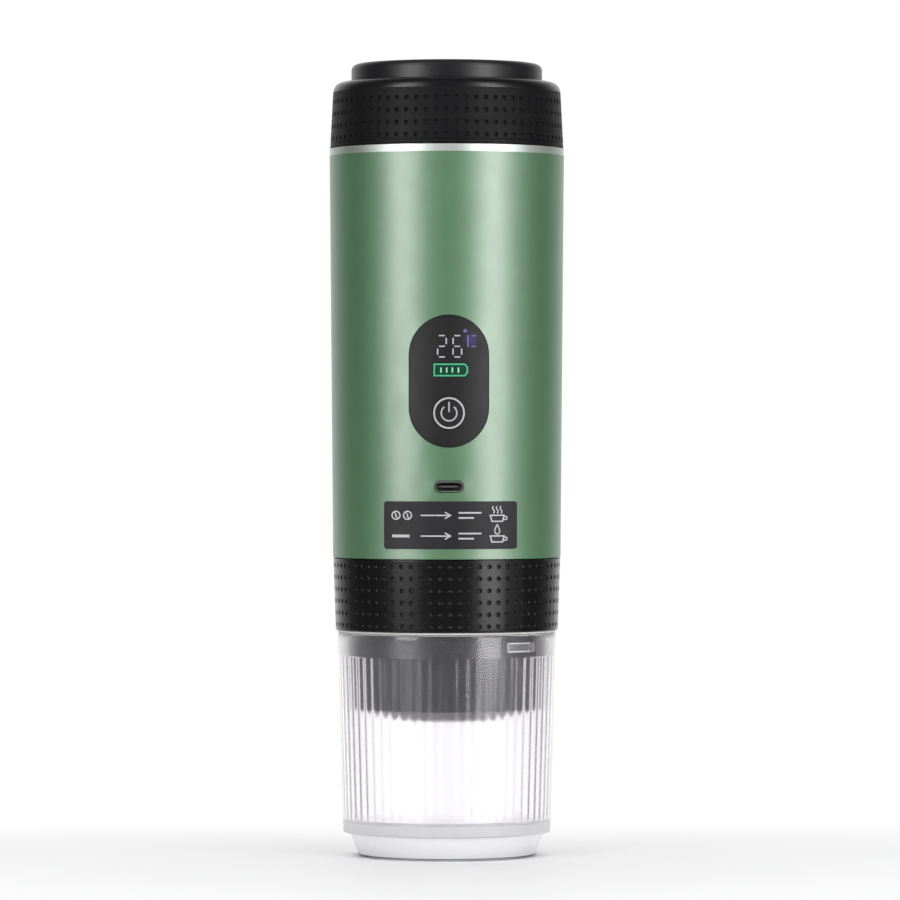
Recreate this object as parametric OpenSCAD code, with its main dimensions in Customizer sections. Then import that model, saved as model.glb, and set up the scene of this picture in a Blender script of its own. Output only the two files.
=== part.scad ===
// Portable espresso maker: a battery powered hand-held machine that stands on its own cup.
// From the foot up: a clear fluted cup, a screw-on brew head, a metal sleeve that holds the
// battery, pump, heater and water tank, and a screw lid. Millimetres, +Z up, front towards -Y,
// origin at the middle of the cup's foot.

/* [Stack heights] */
// Height of the cup, foot to rim
cup_h = 71; // [64:0.5:85]
// Height of the brew head's grip ring
head_h = 24; // [21:0.5:30]
// Height of the metal sleeve
sleeve_h = 128.1; // [120:0.2:150]
// Height of the silver trim ring
trim_h = 2.3; // [1.5:0.1:4]
// Height of the lid's grip ring
lid_h = 21.2; // [19:0.2:30]
// Height of the raised plate on the lid
plate_h = 5.8; // [2:0.1:10]

/* [Outside diameters] */
// Sleeve, at its top edge
sleeve_top_d = 75; // [72:0.1:82]
// Sleeve, at its bottom edge
sleeve_bot_d = 72.8; // [70:0.1:78]
// Lid grip ring, under its rounded shoulder
lid_top_d = 72.4; // [68:0.1:78]
// Raised plate on the lid
plate_d = 61; // [45:0.5:63]
// Brew head grip ring, at its top edge
head_top_d = 72.6; // [70:0.1:78]
// Brew head grip ring, at its bottom edge
head_bot_d = 71; // [68:0.1:76]
// Cup, at its rim
cup_rim_d = 70; // [66:0.1:72.5]
// Cup, at the band above its foot
cup_base_d = 66.2; // [60:0.1:72]
// Cup foot, at its top
foot_top_d = 61.6; // [52:0.1:62]
// Cup foot, where it stands
foot_d = 56.4; // [48:0.1:60]

/* [Cup] */
// Height of the foot
foot_h = 7.2; // [4:0.1:12]
// Height of the plain band above the foot, which is the cup's thick floor
band_h = 3.3; // [2:0.1:8]
// Wall of the cup and of its foot
cup_wall = 2.4; // [1.6:0.1:3]
// Depth of the plain seat inside the rim
seat_h = 7.5; // [6:0.1:12]
// Number of flutes down the inside
flutes = 60; // [24:1:90]
// Depth of a flute
flute_depth = 0.2; // [0.1:0.05:1]
// Key lug on the inside of the seat: angle that it spans
lug_angle = 19; // [8:1:30]
// Key lug: height
lug_h = 3; // [1.5:0.1:4]
// Key lug: how far its bottom lies above the seat
lug_lift = 1.9; // [1:0.1:3]
// Key lug: how far it stands into the keyway
lug_depth = 1.5; // [0.8:0.1:2]
// Angle of the first lug, measured from the front towards the right
lug_turn = 45; // [0:1:80]

/* [Brew head] */
// Wall of the grip ring at its thin end
grip_wall = 1.6; // [1.2:0.1:2.4]
// Wall of the threaded collar
collar_wall = 2; // [1.6:0.1:3]
// Space between the flange and the cup's seat
flange_gap = 0.45; // [0.3:0.05:1]
// Diameter of the chamber under the flange
chamber_top_d = 55.6; // [53:0.1:60]
// Diameter of the chamber above its bottom cone
chamber_bot_d = 54.4; // [52:0.1:60]
// How far the chamber hangs below the cup's rim
chamber_drop = 27.9; // [26:0.1:36]
// Height of the shallow cone round the chamber's bottom
chamber_cone_h = 3.4; // [1:0.1:5]
// Diameter of the flat in the middle of that cone
chamber_flat_d = 30; // [16:0.5:40]
// Thickness of the chamber's floor
chamber_floor = 2.5; // [2:0.1:4]
// Wall of the chamber at its narrow end
chamber_wall = 2.2; // [1.6:0.1:3]
// Depth of the coffee basket
basket_h = 22; // [14:0.5:28]
// Sheet thickness of the basket and its screen
basket_wall = 0.6; // [0.4:0.1:1]
// Height of the brew gasket
brew_gasket_h = 2.3; // [1.5:0.1:3]
// Width of the brew gasket
brew_gasket_w = 3.2; // [2.5:0.1:4]
// Height of the flat seal that the cup's rim meets
cup_seal_h = 1.1; // [0.8:0.1:2]
// Height of the seal's edge that shows under the grip ring
seal_edge = 0.5; // [0.3:0.1:0.7]

/* [Threads] */
// Rise of a thread in one turn
lead = 4.5; // [4:0.1:6]
// Height of a thread ridge
ridge_h = 1.1; // [0.8:0.05:1.3]
// Width of a ridge at its root
ridge_w = 2; // [1.4:0.1:2.2]
// Space between a ridge's crest and the wall that it faces
thread_gap = 0.4; // [0.3:0.05:0.6]
// Space between two ridges' flanks
flank_gap = 0.3; // [0.2:0.05:0.5]
// Length of the threaded spigot under the sleeve
spigot_h = 7.9; // [7.5:0.1:10]
// Height of the threaded neck above the trim ring
neck_h = 8; // [7.5:0.1:10]

/* [Sleeve and panel] */
// Wall of the sleeve
sleeve_wall = 1.5; // [1:0.1:2]
// How far the trim ring stands in from the sleeve's top edge
trim_in = 0.1; // [0:0.1:1]
// Width of the panel lens
panel_w = 25.3; // [20:0.1:30]
// Height of the panel lens
panel_h = 41.8; // [36:0.1:50]
// Middle of the panel, above the sleeve's bottom edge
panel_up = 55.9; // [50:0.1:62]
// Thickness of the lens flange behind the sleeve
lens_flange = 0.8; // [0.5:0.1:1.2]
// Diameter of the power button
button_d = 10.4; // [8:0.1:13]
// Power button below the panel's middle
button_down = 10; // [8:0.1:14]
// Travel of the power button
button_travel = 0.6; // [0.3:0.1:1]
// Middle of the charging port, above the sleeve's bottom edge
port_up = 22.8; // [20.6:0.1:28]
// Middle of the label, above the sleeve's bottom edge
label_up = 10.7; // [9:0.1:14]
// Width of the label as seen from the front
label_w = 41.9; // [30:0.1:48]
// How far the label sits to the right of the middle
label_side = 0.6; // [-2:0.1:2]
// Height of the label
label_h = 15; // [8:0.1:16]
// Thickness of the label
label_t = 0.15; // [0.1:0.01:0.3]

/* [Charging port] */
// Width of the port's shell
port_w = 8.94; // [8.5:0.01:9.4]
// Height of the port's shell
port_h = 3.26; // [3:0.01:3.6]
// Depth of the port's shell
port_depth = 8.4; // [7:0.1:10]
// Sheet thickness of the shell
port_wall = 0.3; // [0.2:0.05:0.4]

/* [Works inside the sleeve] */
// Battery cell diameter
cell_d = 18.4; // [17.5:0.1:19]
// Battery cell length
cell_l = 65.2; // [62:0.1:68]
// Thickness of the chassis decks
deck_t = 4; // [3:0.1:5]
// Pump motor diameter
motor_d = 20.5; // [16:0.1:22]
// Pump motor length
motor_l = 32; // [26:0.5:36]
// Pump head diameter
pump_d = 22; // [20:0.1:24]
// Pump head length
pump_l = 18; // [15:0.5:20]
// Diameter of the pump shaft
shaft_d = 3; // [2:0.1:4]
// Wall of the neck that carries the tank
neck_wall = 3.6; // [2.5:0.1:4.5]
// Sheet thickness of the water tank
tank_wall = 0.8; // [0.5:0.1:1.2]
// Thickness of the heater plate
heater_t = 3; // [2:0.1:5]
// Thickness of the circuit board
board_t = 1.6; // [1:0.1:2]
// Width of the circuit board
board_w = 30; // [28:0.5:34]

/* [Lid] */
// How far the lid's bottom edge stands in from the trim ring
lid_in = 0.1; // [0:0.1:1]
// Wall of the lid's skirt at its bottom edge
lid_wall = 3.4; // [2.8:0.1:4.5]
// Round on the lid's shoulder
lid_round = 3.2; // [1:0.1:4]
// Thickness of the roof over the tank
roof_t = 3; // [2:0.1:4]
// Height of the lid gasket
lid_gasket_h = 2.3; // [1.5:0.1:3]
// Wall of the raised plate
plate_wall = 2.2; // [1.5:0.1:3]

/* [Hidden] */
$fn = 64;
eps = 0.01;
// Clearances: parts of different bodies, parts that plug together, moving pins
body_gap = 0.2;
fit_gap = 0.3;
pin_gap = 0.06;
touch_gap = 0.1;
// How far a cutting shape runs past the faces that it cuts
past = 1;

// Levels, from the foot up
z_floor = foot_h + band_h;
z_rim = cup_h;
z_seat = z_rim - seat_h;
z_sleeve = cup_h + head_h;
z_sleeve_top = z_sleeve + sleeve_h;
z_trim_top = z_sleeve_top + trim_h;
z_lid = z_trim_top + body_gap;
z_lid_top = z_trim_top + lid_h;
z_top = z_lid_top + plate_h;

// Radius of the sleeve's outside and inside at a level
function sleeve_r(z) = (sleeve_bot_d + (sleeve_top_d - sleeve_bot_d) * (z - z_sleeve) / sleeve_h) / 2;
function sleeve_in(z) = sleeve_r(z) - sleeve_wall;
// Radius of the cup's outside and inside at a level
function cup_r(z) = (cup_base_d + (cup_rim_d - cup_base_d) * (z - foot_h) / (cup_h - foot_h)) / 2;
function cup_in(z) = cup_r(z) - cup_wall;

// Brew head radii, from the grip ring inwards
collar_r = min(head_bot_d, head_top_d) / 2 - grip_wall;
collar_bore = collar_r - collar_wall;
spigot_crest = collar_bore - thread_gap;
spigot_r = spigot_crest - ridge_h;
spigot_wall = 2.9;
spigot_bore = spigot_r - spigot_wall;
cup_seal_w = 1.5;
flange_r = min(cup_in(z_seat) - flange_gap, collar_r - cup_seal_w);
cavity_r = min(chamber_top_d, chamber_bot_d) / 2 - chamber_wall;
basket_r = cavity_r - fit_gap;

// Brew head levels, from the sleeve's bottom edge down
base_t = 4;
basket_flange_t = 0.8;
z_base = z_sleeve + touch_gap;
z_base_top = z_base + base_t;
z_head_top = z_sleeve - body_gap;
z_spigot = z_base - spigot_h;
z_step = z_spigot - 2 * touch_gap - brew_gasket_h - basket_flange_t;
z_basket = z_step - basket_h;
z_seal = z_rim + body_gap;
z_ring = z_seal + seal_edge + touch_gap;
z_shoulder = z_seal + cup_seal_h + touch_gap;
z_flange = z_seat + body_gap;
z_chamber = z_rim - chamber_drop;
z_chamber_in = z_chamber + chamber_floor;
seal_edge_in = 0.5;
basket_flange_r = spigot_r - body_gap;
nozzle_r = 4;
nozzle_bore = 1.5;
nozzle_flange_r = 6;
nozzle_flange_t = 1;
key_clear = 3;
key_gap = 0.7;
lug_starts = [270 + lug_turn, 90 + lug_turn];
rim_round = 0.8;
seat_ledge = 0.15;
z_lug = z_seat + lug_lift;
z_lug_top = z_lug + lug_h;

// Shower plate under the base
shower_t = 0.8;
shower_up = 0.4;
shower_r = spigot_bore - fit_gap;
shower_boss_r = 4.5;
shower_hole_r = 0.7;
// Rings of holes as [radius, count]; the radius is a share of the plate's own
shower_rings = [[0.44, 12], [0.74, 24]];
basket_rings = [[0, 1], [0.25, 6], [0.5, 12], [0.75, 18]];
screen_rings = [[0.23, 9], [0.46, 18], [0.69, 27]];
screw_r = 1.25;
screw_head_r = 2.4;
screw_head_h = 1.6;
base_screw_in = 1.6;
base_screw_at = spigot_bore - screw_head_r - base_screw_in;
base_screw_bite = 2.4;
base_screw_angles = [48, 168, 288];

// Chassis: two decks on four posts, with a pocket for each end of each cell
deck_gap = 0.6;
deck_r = sleeve_in(z_sleeve) - deck_gap;
pocket_depth = 1.8;
contact_t = 0.3;
contact_r = 6;
cell_angles = [90, 210, 330];
cell_r = cell_d / 2;
cell_gap = 1.2;
cell_at = sleeve_in(z_sleeve) - cell_gap - cell_r;
z_deck = z_base_top + touch_gap;
z_deck_top = z_deck + deck_t;
z_cell = z_deck_top - pocket_depth + contact_t;
z_cell_top = z_cell + cell_l;
z_upper = z_cell_top + contact_t - pocket_depth;
z_upper_top = z_upper + deck_t;
post_r = 3;
post_in = 0.8;
post_at = deck_r - post_r - post_in;
post_angles = [45, 135];
front_post_w = 5;

// Pump stack on the lower deck
mount_t = 3;
mount_lip = 1;
mount_r = motor_d / 2 + mount_lip;
z_motor = z_deck_top + mount_t;
z_pump = z_motor + motor_l;
z_pump_top = z_pump + pump_l;
shaft_r = shaft_d / 2;
shaft_floor = 2;
cam_r = 5;
cam_offset = 1.5;
cam_h = 5;
cam_up = 1;
pump_cavity_r = 8;
pump_cavity_h = 7;
diaphragm_t = 1.5;
stroke_r = 6;
stroke_h = 2;
passage_r = 0.7;
barb_r = 4;
barb_bore = 2;
barb_l = 7;
hose_wall = 1.8;
hose_gap = 0.8;
hose_bore = barb_r + pin_gap;
hose_r = hose_bore + hose_wall;
tube_at = 17;
tube_angle = 30;
tube_r = 3;
tube_bore = 2;
tube_end = 1;
arm_w = 9;
arm_h = 9;
arm_up = 5;
socket_depth = 3;
z_arm = z_pump + arm_up;
z_diaphragm = z_pump + pump_cavity_h;
z_stroke = z_diaphragm + diaphragm_t;

// Heater and tank, hung from the neck at the top of the sleeve
heater_gap = 5;
z_heater = z_upper_top + heater_gap;
z_tank = z_heater + heater_t;
trim_r = sleeve_top_d / 2 - trim_in;
lid_bot_r = trim_r - lid_in;
function lid_r(z) = lid_bot_r + (lid_top_d / 2 - lid_bot_r) * (z - z_lid) / (z_lid_top - z_lid);
lid_bore = lid_bot_r - lid_wall;
neck_crest = lid_bore - thread_gap;
neck_r = neck_crest - ridge_h;
neck_bore = neck_r - neck_wall;
tank_r = neck_bore - body_gap;
tank_in = tank_r - tank_wall;
tank_seal_t = 0.5;
tank_flange_in = 0.5;
tank_flange_r = neck_r - tank_flange_in;
z_neck_top = z_trim_top + neck_h;
z_tank_top = z_neck_top + tank_seal_t + tank_wall;
plug_h = 10;
plug_web = 4;
plug_wall = 2.2;
plug_r = sleeve_in(z_sleeve_top - plug_h) - body_gap;
heater_in = 3;
heater_r = tank_in - heater_in;
sensor_r = 2;
sensor_h = 4;
sensor_at = 14;
thermistor_angle = 120;
fuse_angle = 60;

// Lid levels
z_roof = z_tank_top + touch_gap + lid_gasket_h + touch_gap;
z_recess = z_roof + roof_t;
recess_r = plate_d / 2 + fit_gap;
plate_round = 2;
lid_gasket_in = 1;
vent_r = 2;
vent_flange_r = 4;
vent_flange_t = 1.2;
vent_bulb_r = 3;
vent_bulb_h = 1.6;

// Panel, board and what stands on it
z_panel = z_sleeve + panel_up;
z_button = z_panel - button_down;
z_port = z_sleeve + port_up;
z_label = z_sleeve + label_up;
lens_gap = 0.15;
lens_sink = 0.1;
lens_lip = 1.5;
button_gap = 0.15;
button_flange = 1.1;
button_flange_t = 1;
button_stem = 0.5;
button_stem_r = 4;
button_r = button_d / 2;
port_sink = 0.4;
port_gap = 0.28;
tongue_w = 6.7;
tongue_t = 0.7;
tongue_l = 6.5;
port_floor = 1;
board_front = sleeve_r(z_port) - port_sink - port_depth;
board_back = board_front - board_t;
board_below_port = 10.5;
display_w = 20;
display_h = 15.4;
display_depth = 4.4;
display_up = 8.4;
z_display = z_panel + display_up;
z_board = z_port - board_below_port;
board_margin = 0.5;
z_board_top = z_display + display_h / 2 + board_margin;
board_screw_in = 4;
board_screw_r = 0.9;
board_screw_head_r = 1.8;
board_screw_end = 1;
screw_margin = 0.7;
switch_w = 6;
switch_stem_r = 1.75;
switch_stem_h = 0.6;
lens_back = sleeve_in(z_button) - lens_flange;
button_back = lens_back - touch_gap - button_flange_t - button_stem;
switch_depth = button_back - button_travel - touch_gap - switch_stem_h - board_front;
board_screw_x = display_w / 2 + board_screw_head_r + screw_margin;
lead_r = 0.7;
motor_lead_x = 2;
motor_lead_up = 6;
heater_lead_x = 4;
heater_lead_in = 2;
heater_lead_down = 3;
label_round = 1;
label_gap = 0.02;

// Thread ridges: a right-hand helix of trapezoids, sunk a little into its wall
thread_steps = 32;
thread_sink = 0.4;
crest_w = ridge_w / 2;
// Distance along the axis between two ridges whose flanks face each other
flank_pitch = ridge_w - (ridge_w - crest_w) / 2 * (ridge_h + thread_gap) / ridge_h + flank_gap;
male_turns = 0.85;
female_turns = 0.7;
// Level of the lowest ridge above the edge that its thread starts from
thread_start = 1.4;

// Shapes that several parts share

// Solid disc between two levels
module disc(r, z0, z1) translate([0, 0, z0]) cylinder(r = r, h = z1 - z0);

// Tube between two levels
module pipe(r_out, r_in, z0, z1) difference() {
    disc(r_out, z0, z1);
    disc(r_in, z0 - eps, z1 + eps);
}

// Solid turned from an outline of [radius, level] points
module turned(outline) rotate_extrude() polygon(outline);

// Copies on a circle, at the given angles from +X
module at_angles(angles, r) for (a = angles) rotate([0, 0, a]) translate([r, 0, 0]) children();

// Copies evenly spaced on a circle
module ring_of(count, r) at_angles([for (i = [0 : count - 1]) 360 * i / count], r) children();

// Sector of a ring, centred on an angle
module ring_sector(r_in, r_out, z0, z1, middle, span)
    rotate([0, 0, middle - span / 2])
        rotate_extrude(angle = span) translate([r_in, z0]) square([r_out - r_in, z1 - z0]);

// A flat outline, drawn as seen from the front, pushed between two distances before the axis
module from_front(z, near, far)
    translate([0, -near, z]) rotate([90, 0, 0]) linear_extrude(far - near) children();

// Outline with half-round ends, for a width and a height
module stadium(w, h) {
    d = min(w, h);
    square([w == d ? w : w - d, h == d ? h : h - d], center = true);
    for (s = [-1, 1]) translate([s * (w - d) / 2, s * (h - d) / 2]) circle(d = d);
}

// Rectangle with round corners
module round_rect(w, h, r) {
    square([w - 2 * r, h], center = true);
    square([w, h - 2 * r], center = true);
    for (x = [-1, 1], y = [-1, 1]) translate([x * (w / 2 - r), y * (h / 2 - r)]) circle(r);
}

// Outer corner of an outline, to be cut away to leave a round of radius r
module corner_cut(x, y, r) translate([x - r, y - r]) difference() {
    square(r + past);
    circle(r);
}

// Solid that follows the sleeve's taper, grown outwards by an offset and run past both ends by a length
module sleeve_cone(offset, past = 0) translate([0, 0, z_sleeve - past])
    cylinder(r1 = sleeve_r(z_sleeve - past) + offset, r2 = sleeve_r(z_sleeve_top + past) + offset,
        h = sleeve_h + 2 * past);

// Part of a skin between two offsets from the sleeve's outside, cut to an outline seen from the front
module sleeve_patch(z, inner, outer) intersection() {
    from_front(z, past, sleeve_top_d) children();
    difference() {
        sleeve_cone(outer);
        sleeve_cone(inner, past);
    }
}

// Helical thread ridge that starts at a level and climbs; crest_r is above wall_r outside, below it inside
module thread_ridge(wall_r, crest_r, z, turns) {
    side = sign(crest_r - wall_r);
    steps = ceil(turns * thread_steps);
    root_half = ridge_w / 2 + thread_sink * (ridge_w - crest_w) / 2 / ridge_h;
    rings = [for (i = [0 : steps]) let (a = 360 * turns * i / steps, up = z + lead * turns * i / steps)
        [for (p = [[wall_r - side * thread_sink, -root_half], [crest_r, -crest_w / 2],
                   [crest_r, crest_w / 2], [wall_r - side * thread_sink, root_half]])
            [p[0] * cos(a), p[0] * sin(a), up + p[1]]]];
    points = [for (ring = rings) each ring];
    sides = [for (i = [0 : steps - 1], k = [0 : 3]) let (a = 4 * i + k, b = 4 * i + (k + 1) % 4)
        each [[a, b, a + 4], [b, b + 4, a + 4]]];
    last = 4 * steps;
    ends = [[0, 2, 1], [0, 3, 2], [last, last + 1, last + 2], [last, last + 2, last + 3]];
    outside = [for (f = concat(sides, ends)) side > 0 ? f : [f[2], f[1], f[0]]];
    polyhedron(points, outside);
}

// Round wire along straight runs, with a ball at each bend
module wire(points) {
    for (i = [0 : len(points) - 2]) {
        run = points[i + 1] - points[i];
        translate(points[i])
            rotate([0, acos(run[2] / norm(run)), atan2(run[1], run[0])])
                cylinder(r = lead_r, h = norm(run));
    }
    for (i = [1 : 1 : len(points) - 2]) translate(points[i]) sphere(lead_r);
}

// Screw with its head down, the head's top at a level and the shank going up
module screw_up(z, r, head_r, head_h, l) {
    disc(head_r, z - head_h, z);
    disc(r, z - eps, z + l);
}

// Cup

module drinking_cup() color("whitesmoke", 0.4) {
    difference() {
        rotate_extrude() difference() {
            polygon([
                [foot_d / 2 - cup_wall, 0], [foot_d / 2, 0], [foot_top_d / 2, foot_h],
                [cup_r(foot_h), foot_h], [cup_r(z_rim), z_rim], [0, z_rim], [0, foot_h],
                [foot_top_d / 2 - cup_wall, foot_h]
            ]);
            corner_cut(cup_r(z_rim), z_rim, rim_round);
        }
        turned([
            [0, z_seat], [cup_in(z_seat), z_seat], [cup_in(z_rim), z_rim],
            [cup_in(z_rim), z_rim + past], [0, z_rim + past]
        ]);
        cup_flutes();
    }
    for (a = lug_starts)
        ring_sector(cup_in(z_seat) - lug_depth, cup_in(z_seat) + cup_wall / 2,
            z_lug, z_lug_top, a, lug_angle);
}

// The fluted hollow between the floor and the seat, tapered with the wall; its ribs stand in from the wall
module cup_flutes() {
    points_each = 4;
    z_end = z_seat + past;
    low = cup_in(z_floor) - seat_ledge - flute_depth;
    high = cup_in(z_end) - seat_ledge - flute_depth;
    translate([0, 0, z_floor])
        linear_extrude(z_end - z_floor, scale = high / low)
            polygon([for (i = [0 : flutes * points_each - 1])
                let (a = 360 * i / (flutes * points_each),
                     r = low + flute_depth * (1 - cos(360 * i / points_each)) / 2)
                [r * cos(a), r * sin(a)]]);
}

// Brew head

module head_grip_ring() color("#26262a") turned([
    [collar_r + touch_gap, z_ring], [head_bot_d / 2, z_ring],
    [head_top_d / 2, z_head_top], [collar_r + touch_gap, z_head_top]
]);

module brew_chamber() color("#3a3a40") {
    difference() {
        turned([
            [0, z_chamber], [chamber_flat_d / 2, z_chamber],
            [chamber_bot_d / 2, z_chamber + chamber_cone_h], [chamber_top_d / 2, z_flange],
            [flange_r, z_flange], [flange_r, z_shoulder], [collar_r, z_shoulder],
            [collar_r, z_head_top], [collar_bore, z_head_top], [collar_bore, z_step],
            [cavity_r, z_step], [cavity_r, z_chamber_in + chamber_cone_h],
            [chamber_flat_d / 2, z_chamber_in], [0, z_chamber_in]
        ]);
        disc(nozzle_r, z_chamber - past, z_chamber_in + past);
        for (a = lug_starts)
            ring_sector(cup_in(z_seat) - lug_depth - key_gap, flange_r + past, z_flange - past,
                z_lug_top + 2 * key_gap, a, lug_angle + 2 * key_clear);
    }
    thread_ridge(collar_bore, collar_bore - ridge_h, z_spigot + thread_start + flank_pitch, female_turns);
}

module cup_seal() color("gainsboro") turned([
    [flange_r + touch_gap, z_seal], [head_bot_d / 2 - seal_edge_in, z_seal],
    [head_bot_d / 2 - seal_edge_in, z_seal + seal_edge], [collar_r - touch_gap, z_seal + seal_edge],
    [collar_r - touch_gap, z_shoulder - touch_gap], [flange_r + touch_gap, z_shoulder - touch_gap]
]);

module coffee_basket() color("silver") difference() {
    turned([
        [0, z_basket], [basket_r, z_basket], [basket_r, z_step], [basket_flange_r, z_step],
        [basket_flange_r, z_step + basket_flange_t], [basket_r - basket_wall, z_step + basket_flange_t],
        [basket_r - basket_wall, z_basket + basket_wall], [0, z_basket + basket_wall]
    ]);
    for (ring = basket_rings)
        ring_of(ring[1], ring[0] * basket_r)
            disc(shower_hole_r, z_basket - past, z_basket + basket_wall + past);
}

module filter_screen() color("darkgray") difference() {
    disc(basket_r - basket_wall - touch_gap, z_basket + basket_wall, z_basket + 2 * basket_wall);
    for (ring = screen_rings)
        ring_of(ring[1], ring[0] * basket_r)
            disc(shower_hole_r / 2, z_basket, z_basket + 2 * basket_wall + past);
}

module outlet_nozzle() color("dimgray") difference() {
    union() {
        disc(nozzle_r - touch_gap, z_chamber + touch_gap, z_chamber_in + eps);
        disc(nozzle_flange_r, z_chamber_in, z_chamber_in + nozzle_flange_t);
    }
    disc(nozzle_bore, z_chamber - past, z_chamber_in + nozzle_flange_t + past);
}

module brew_gasket() color("firebrick")
    pipe(basket_flange_r, basket_flange_r - brew_gasket_w, z_spigot - touch_gap - brew_gasket_h,
        z_spigot - touch_gap);

// Sleeve and what it carries at its ends

module body_sleeve() color("#5d8f68") difference() {
    sleeve_cone(0);
    sleeve_cone(-sleeve_wall, past);
    from_front(z_panel, past, sleeve_top_d) stadium(panel_w, panel_h);
    from_front(z_port, past, sleeve_top_d) stadium(port_w + 2 * port_gap, port_h + 2 * port_gap);
}

module trim_ring() color("#d2d2d6") pipe(trim_r, neck_r + body_gap, z_sleeve_top, z_trim_top);

module tank_neck() color("#2f2f33") {
    turned([
        [neck_bore, z_sleeve_top - plug_web], [plug_r - plug_wall, z_sleeve_top - plug_web],
        [plug_r - plug_wall, z_sleeve_top - plug_h], [plug_r, z_sleeve_top - plug_h],
        [plug_r, z_sleeve_top], [neck_r, z_sleeve_top], [neck_r, z_neck_top], [neck_bore, z_neck_top]
    ]);
    thread_ridge(neck_r, neck_crest, z_trim_top + thread_start + flank_pitch, male_turns);
}

module tank_seal() color("gainsboro") pipe(tank_flange_r, neck_bore, z_neck_top, z_neck_top + tank_seal_t);

module water_tank() color("silver") turned([
    [barb_bore, z_tank - barb_l], [barb_r, z_tank - barb_l], [barb_r, z_tank], [tank_r, z_tank],
    [tank_r, z_neck_top + tank_seal_t], [tank_flange_r, z_neck_top + tank_seal_t],
    [tank_flange_r, z_tank_top], [tank_in, z_tank_top], [tank_in, z_tank + tank_wall],
    [barb_bore, z_tank + tank_wall]
]);

module heater_plate() color("lightgray") pipe(heater_r, hose_r + fit_gap, z_heater, z_tank);

module thermistor() color("black") at_angles([thermistor_angle], sensor_at)
    disc(sensor_r, z_heater - sensor_h, z_heater);

module thermal_fuse() color("tan") at_angles([fuse_angle], sensor_at)
    disc(sensor_r, z_heater - sensor_h, z_heater);

module tank_hose() color("mistyrose")
    pipe(hose_r, hose_bore, z_pump_top + touch_gap, z_heater - touch_gap);

module base_plug() color("#2f2f33") {
    difference() {
        turned([
            [0, z_spigot + shower_up + shower_t], [shower_boss_r, z_spigot + shower_up + shower_t],
            [shower_boss_r, z_base], [spigot_bore, z_base], [spigot_bore, z_spigot], [spigot_r, z_spigot],
            [spigot_r, z_base], [sleeve_in(z_sleeve) - fit_gap, z_base],
            [sleeve_in(z_sleeve) - fit_gap, z_base_top], [0, z_base_top]
        ]);
        at_angles([tube_angle], tube_at) disc(tube_r + pin_gap, z_base - past, z_base_top + past);
        at_angles(base_screw_angles, base_screw_at)
            disc(screw_r + touch_gap, z_base - past, z_base_top + past);
        disc(screw_r + pin_gap, z_spigot, z_base + past);
    }
    thread_ridge(spigot_r, spigot_crest, z_spigot + thread_start, male_turns);
}

module base_screws() color("silver")
    at_angles(base_screw_angles, base_screw_at)
        screw_up(z_base, screw_r, screw_head_r, screw_head_h, base_t + touch_gap + base_screw_bite);

module shower_plate() color("silver") difference() {
    disc(shower_r, z_spigot + shower_up, z_spigot + shower_up + shower_t);
    disc(screw_r + touch_gap, z_spigot, z_spigot + shower_up + shower_t + past);
    for (ring = shower_rings)
        ring_of(ring[1], ring[0] * shower_r)
            disc(shower_hole_r, z_spigot, z_spigot + shower_up + shower_t + past);
}

module shower_screw() color("gray")
    screw_up(z_spigot + shower_up, screw_r, screw_head_r, screw_head_h, spigot_h - shower_up - fit_gap);

// Chassis, battery and pump

module chassis() color("whitesmoke") difference() {
    union() {
        disc(deck_r, z_deck, z_deck_top);
        difference() {
            disc(deck_r, z_upper, z_upper_top);
            from_front(z_upper, board_back - touch_gap, sleeve_top_d)
                square([sleeve_top_d, 4 * deck_t], center = true);
            from_front(z_upper, board_back - 2 * heater_lead_in, sleeve_top_d)
                square([2 * (heater_lead_x + 2 * lead_r), 4 * deck_t], center = true);
        }
        at_angles(post_angles, post_at) disc(post_r, z_deck_top - past, z_upper + past);
        for (s = [-1, 1])
            translate([s * board_screw_x - front_post_w / 2, -board_back, z_deck_top - past])
                cube([front_post_w, front_post_w, z_upper - z_deck_top + 2 * past]);
    }
    for (a = cell_angles) rotate([0, 0, a]) translate([cell_at, 0, 0]) {
        disc(cell_r + fit_gap, z_deck_top - pocket_depth, z_deck_top + past);
        disc(cell_r + fit_gap, z_upper - past, z_upper + pocket_depth);
    }
    disc(hose_r + hose_gap, z_upper - past, z_upper_top + past);
    at_angles([tube_angle], tube_at) disc(tube_r + fit_gap, z_deck - past, z_deck_top + past);
    at_angles(base_screw_angles, base_screw_at) disc(screw_r + pin_gap, z_deck - past, z_deck_top + past);
    board_screw_places() translate([0, 0, -eps]) cylinder(r = board_screw_r + pin_gap, h = front_post_w);
}

// Places of the board's screws, with +Z pointing back into the posts from the board's back face
module board_screw_places()
    for (x = [-1, 1], z = [z_board + board_screw_in, z_board_top - 2 * board_screw_in])
        translate([x * board_screw_x, -board_back, z]) rotate([-90, 0, 0]) children();

module battery_cell(a) color("steelblue") rotate([0, 0, a]) translate([cell_at, 0, 0])
    disc(cell_r, z_cell, z_cell_top);

module cell_contacts() color("silver") at_angles(cell_angles, cell_at) {
    disc(contact_r, z_cell - contact_t, z_cell);
    disc(contact_r, z_cell_top, z_cell_top + contact_t);
}

module pump_mount() color("#303030") disc(mount_r, z_deck_top, z_motor);

module pump_motor() color("silver") difference() {
    disc(motor_d / 2, z_motor, z_pump);
    disc(shaft_r + pin_gap, z_motor + shaft_floor, z_pump + past);
}

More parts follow.
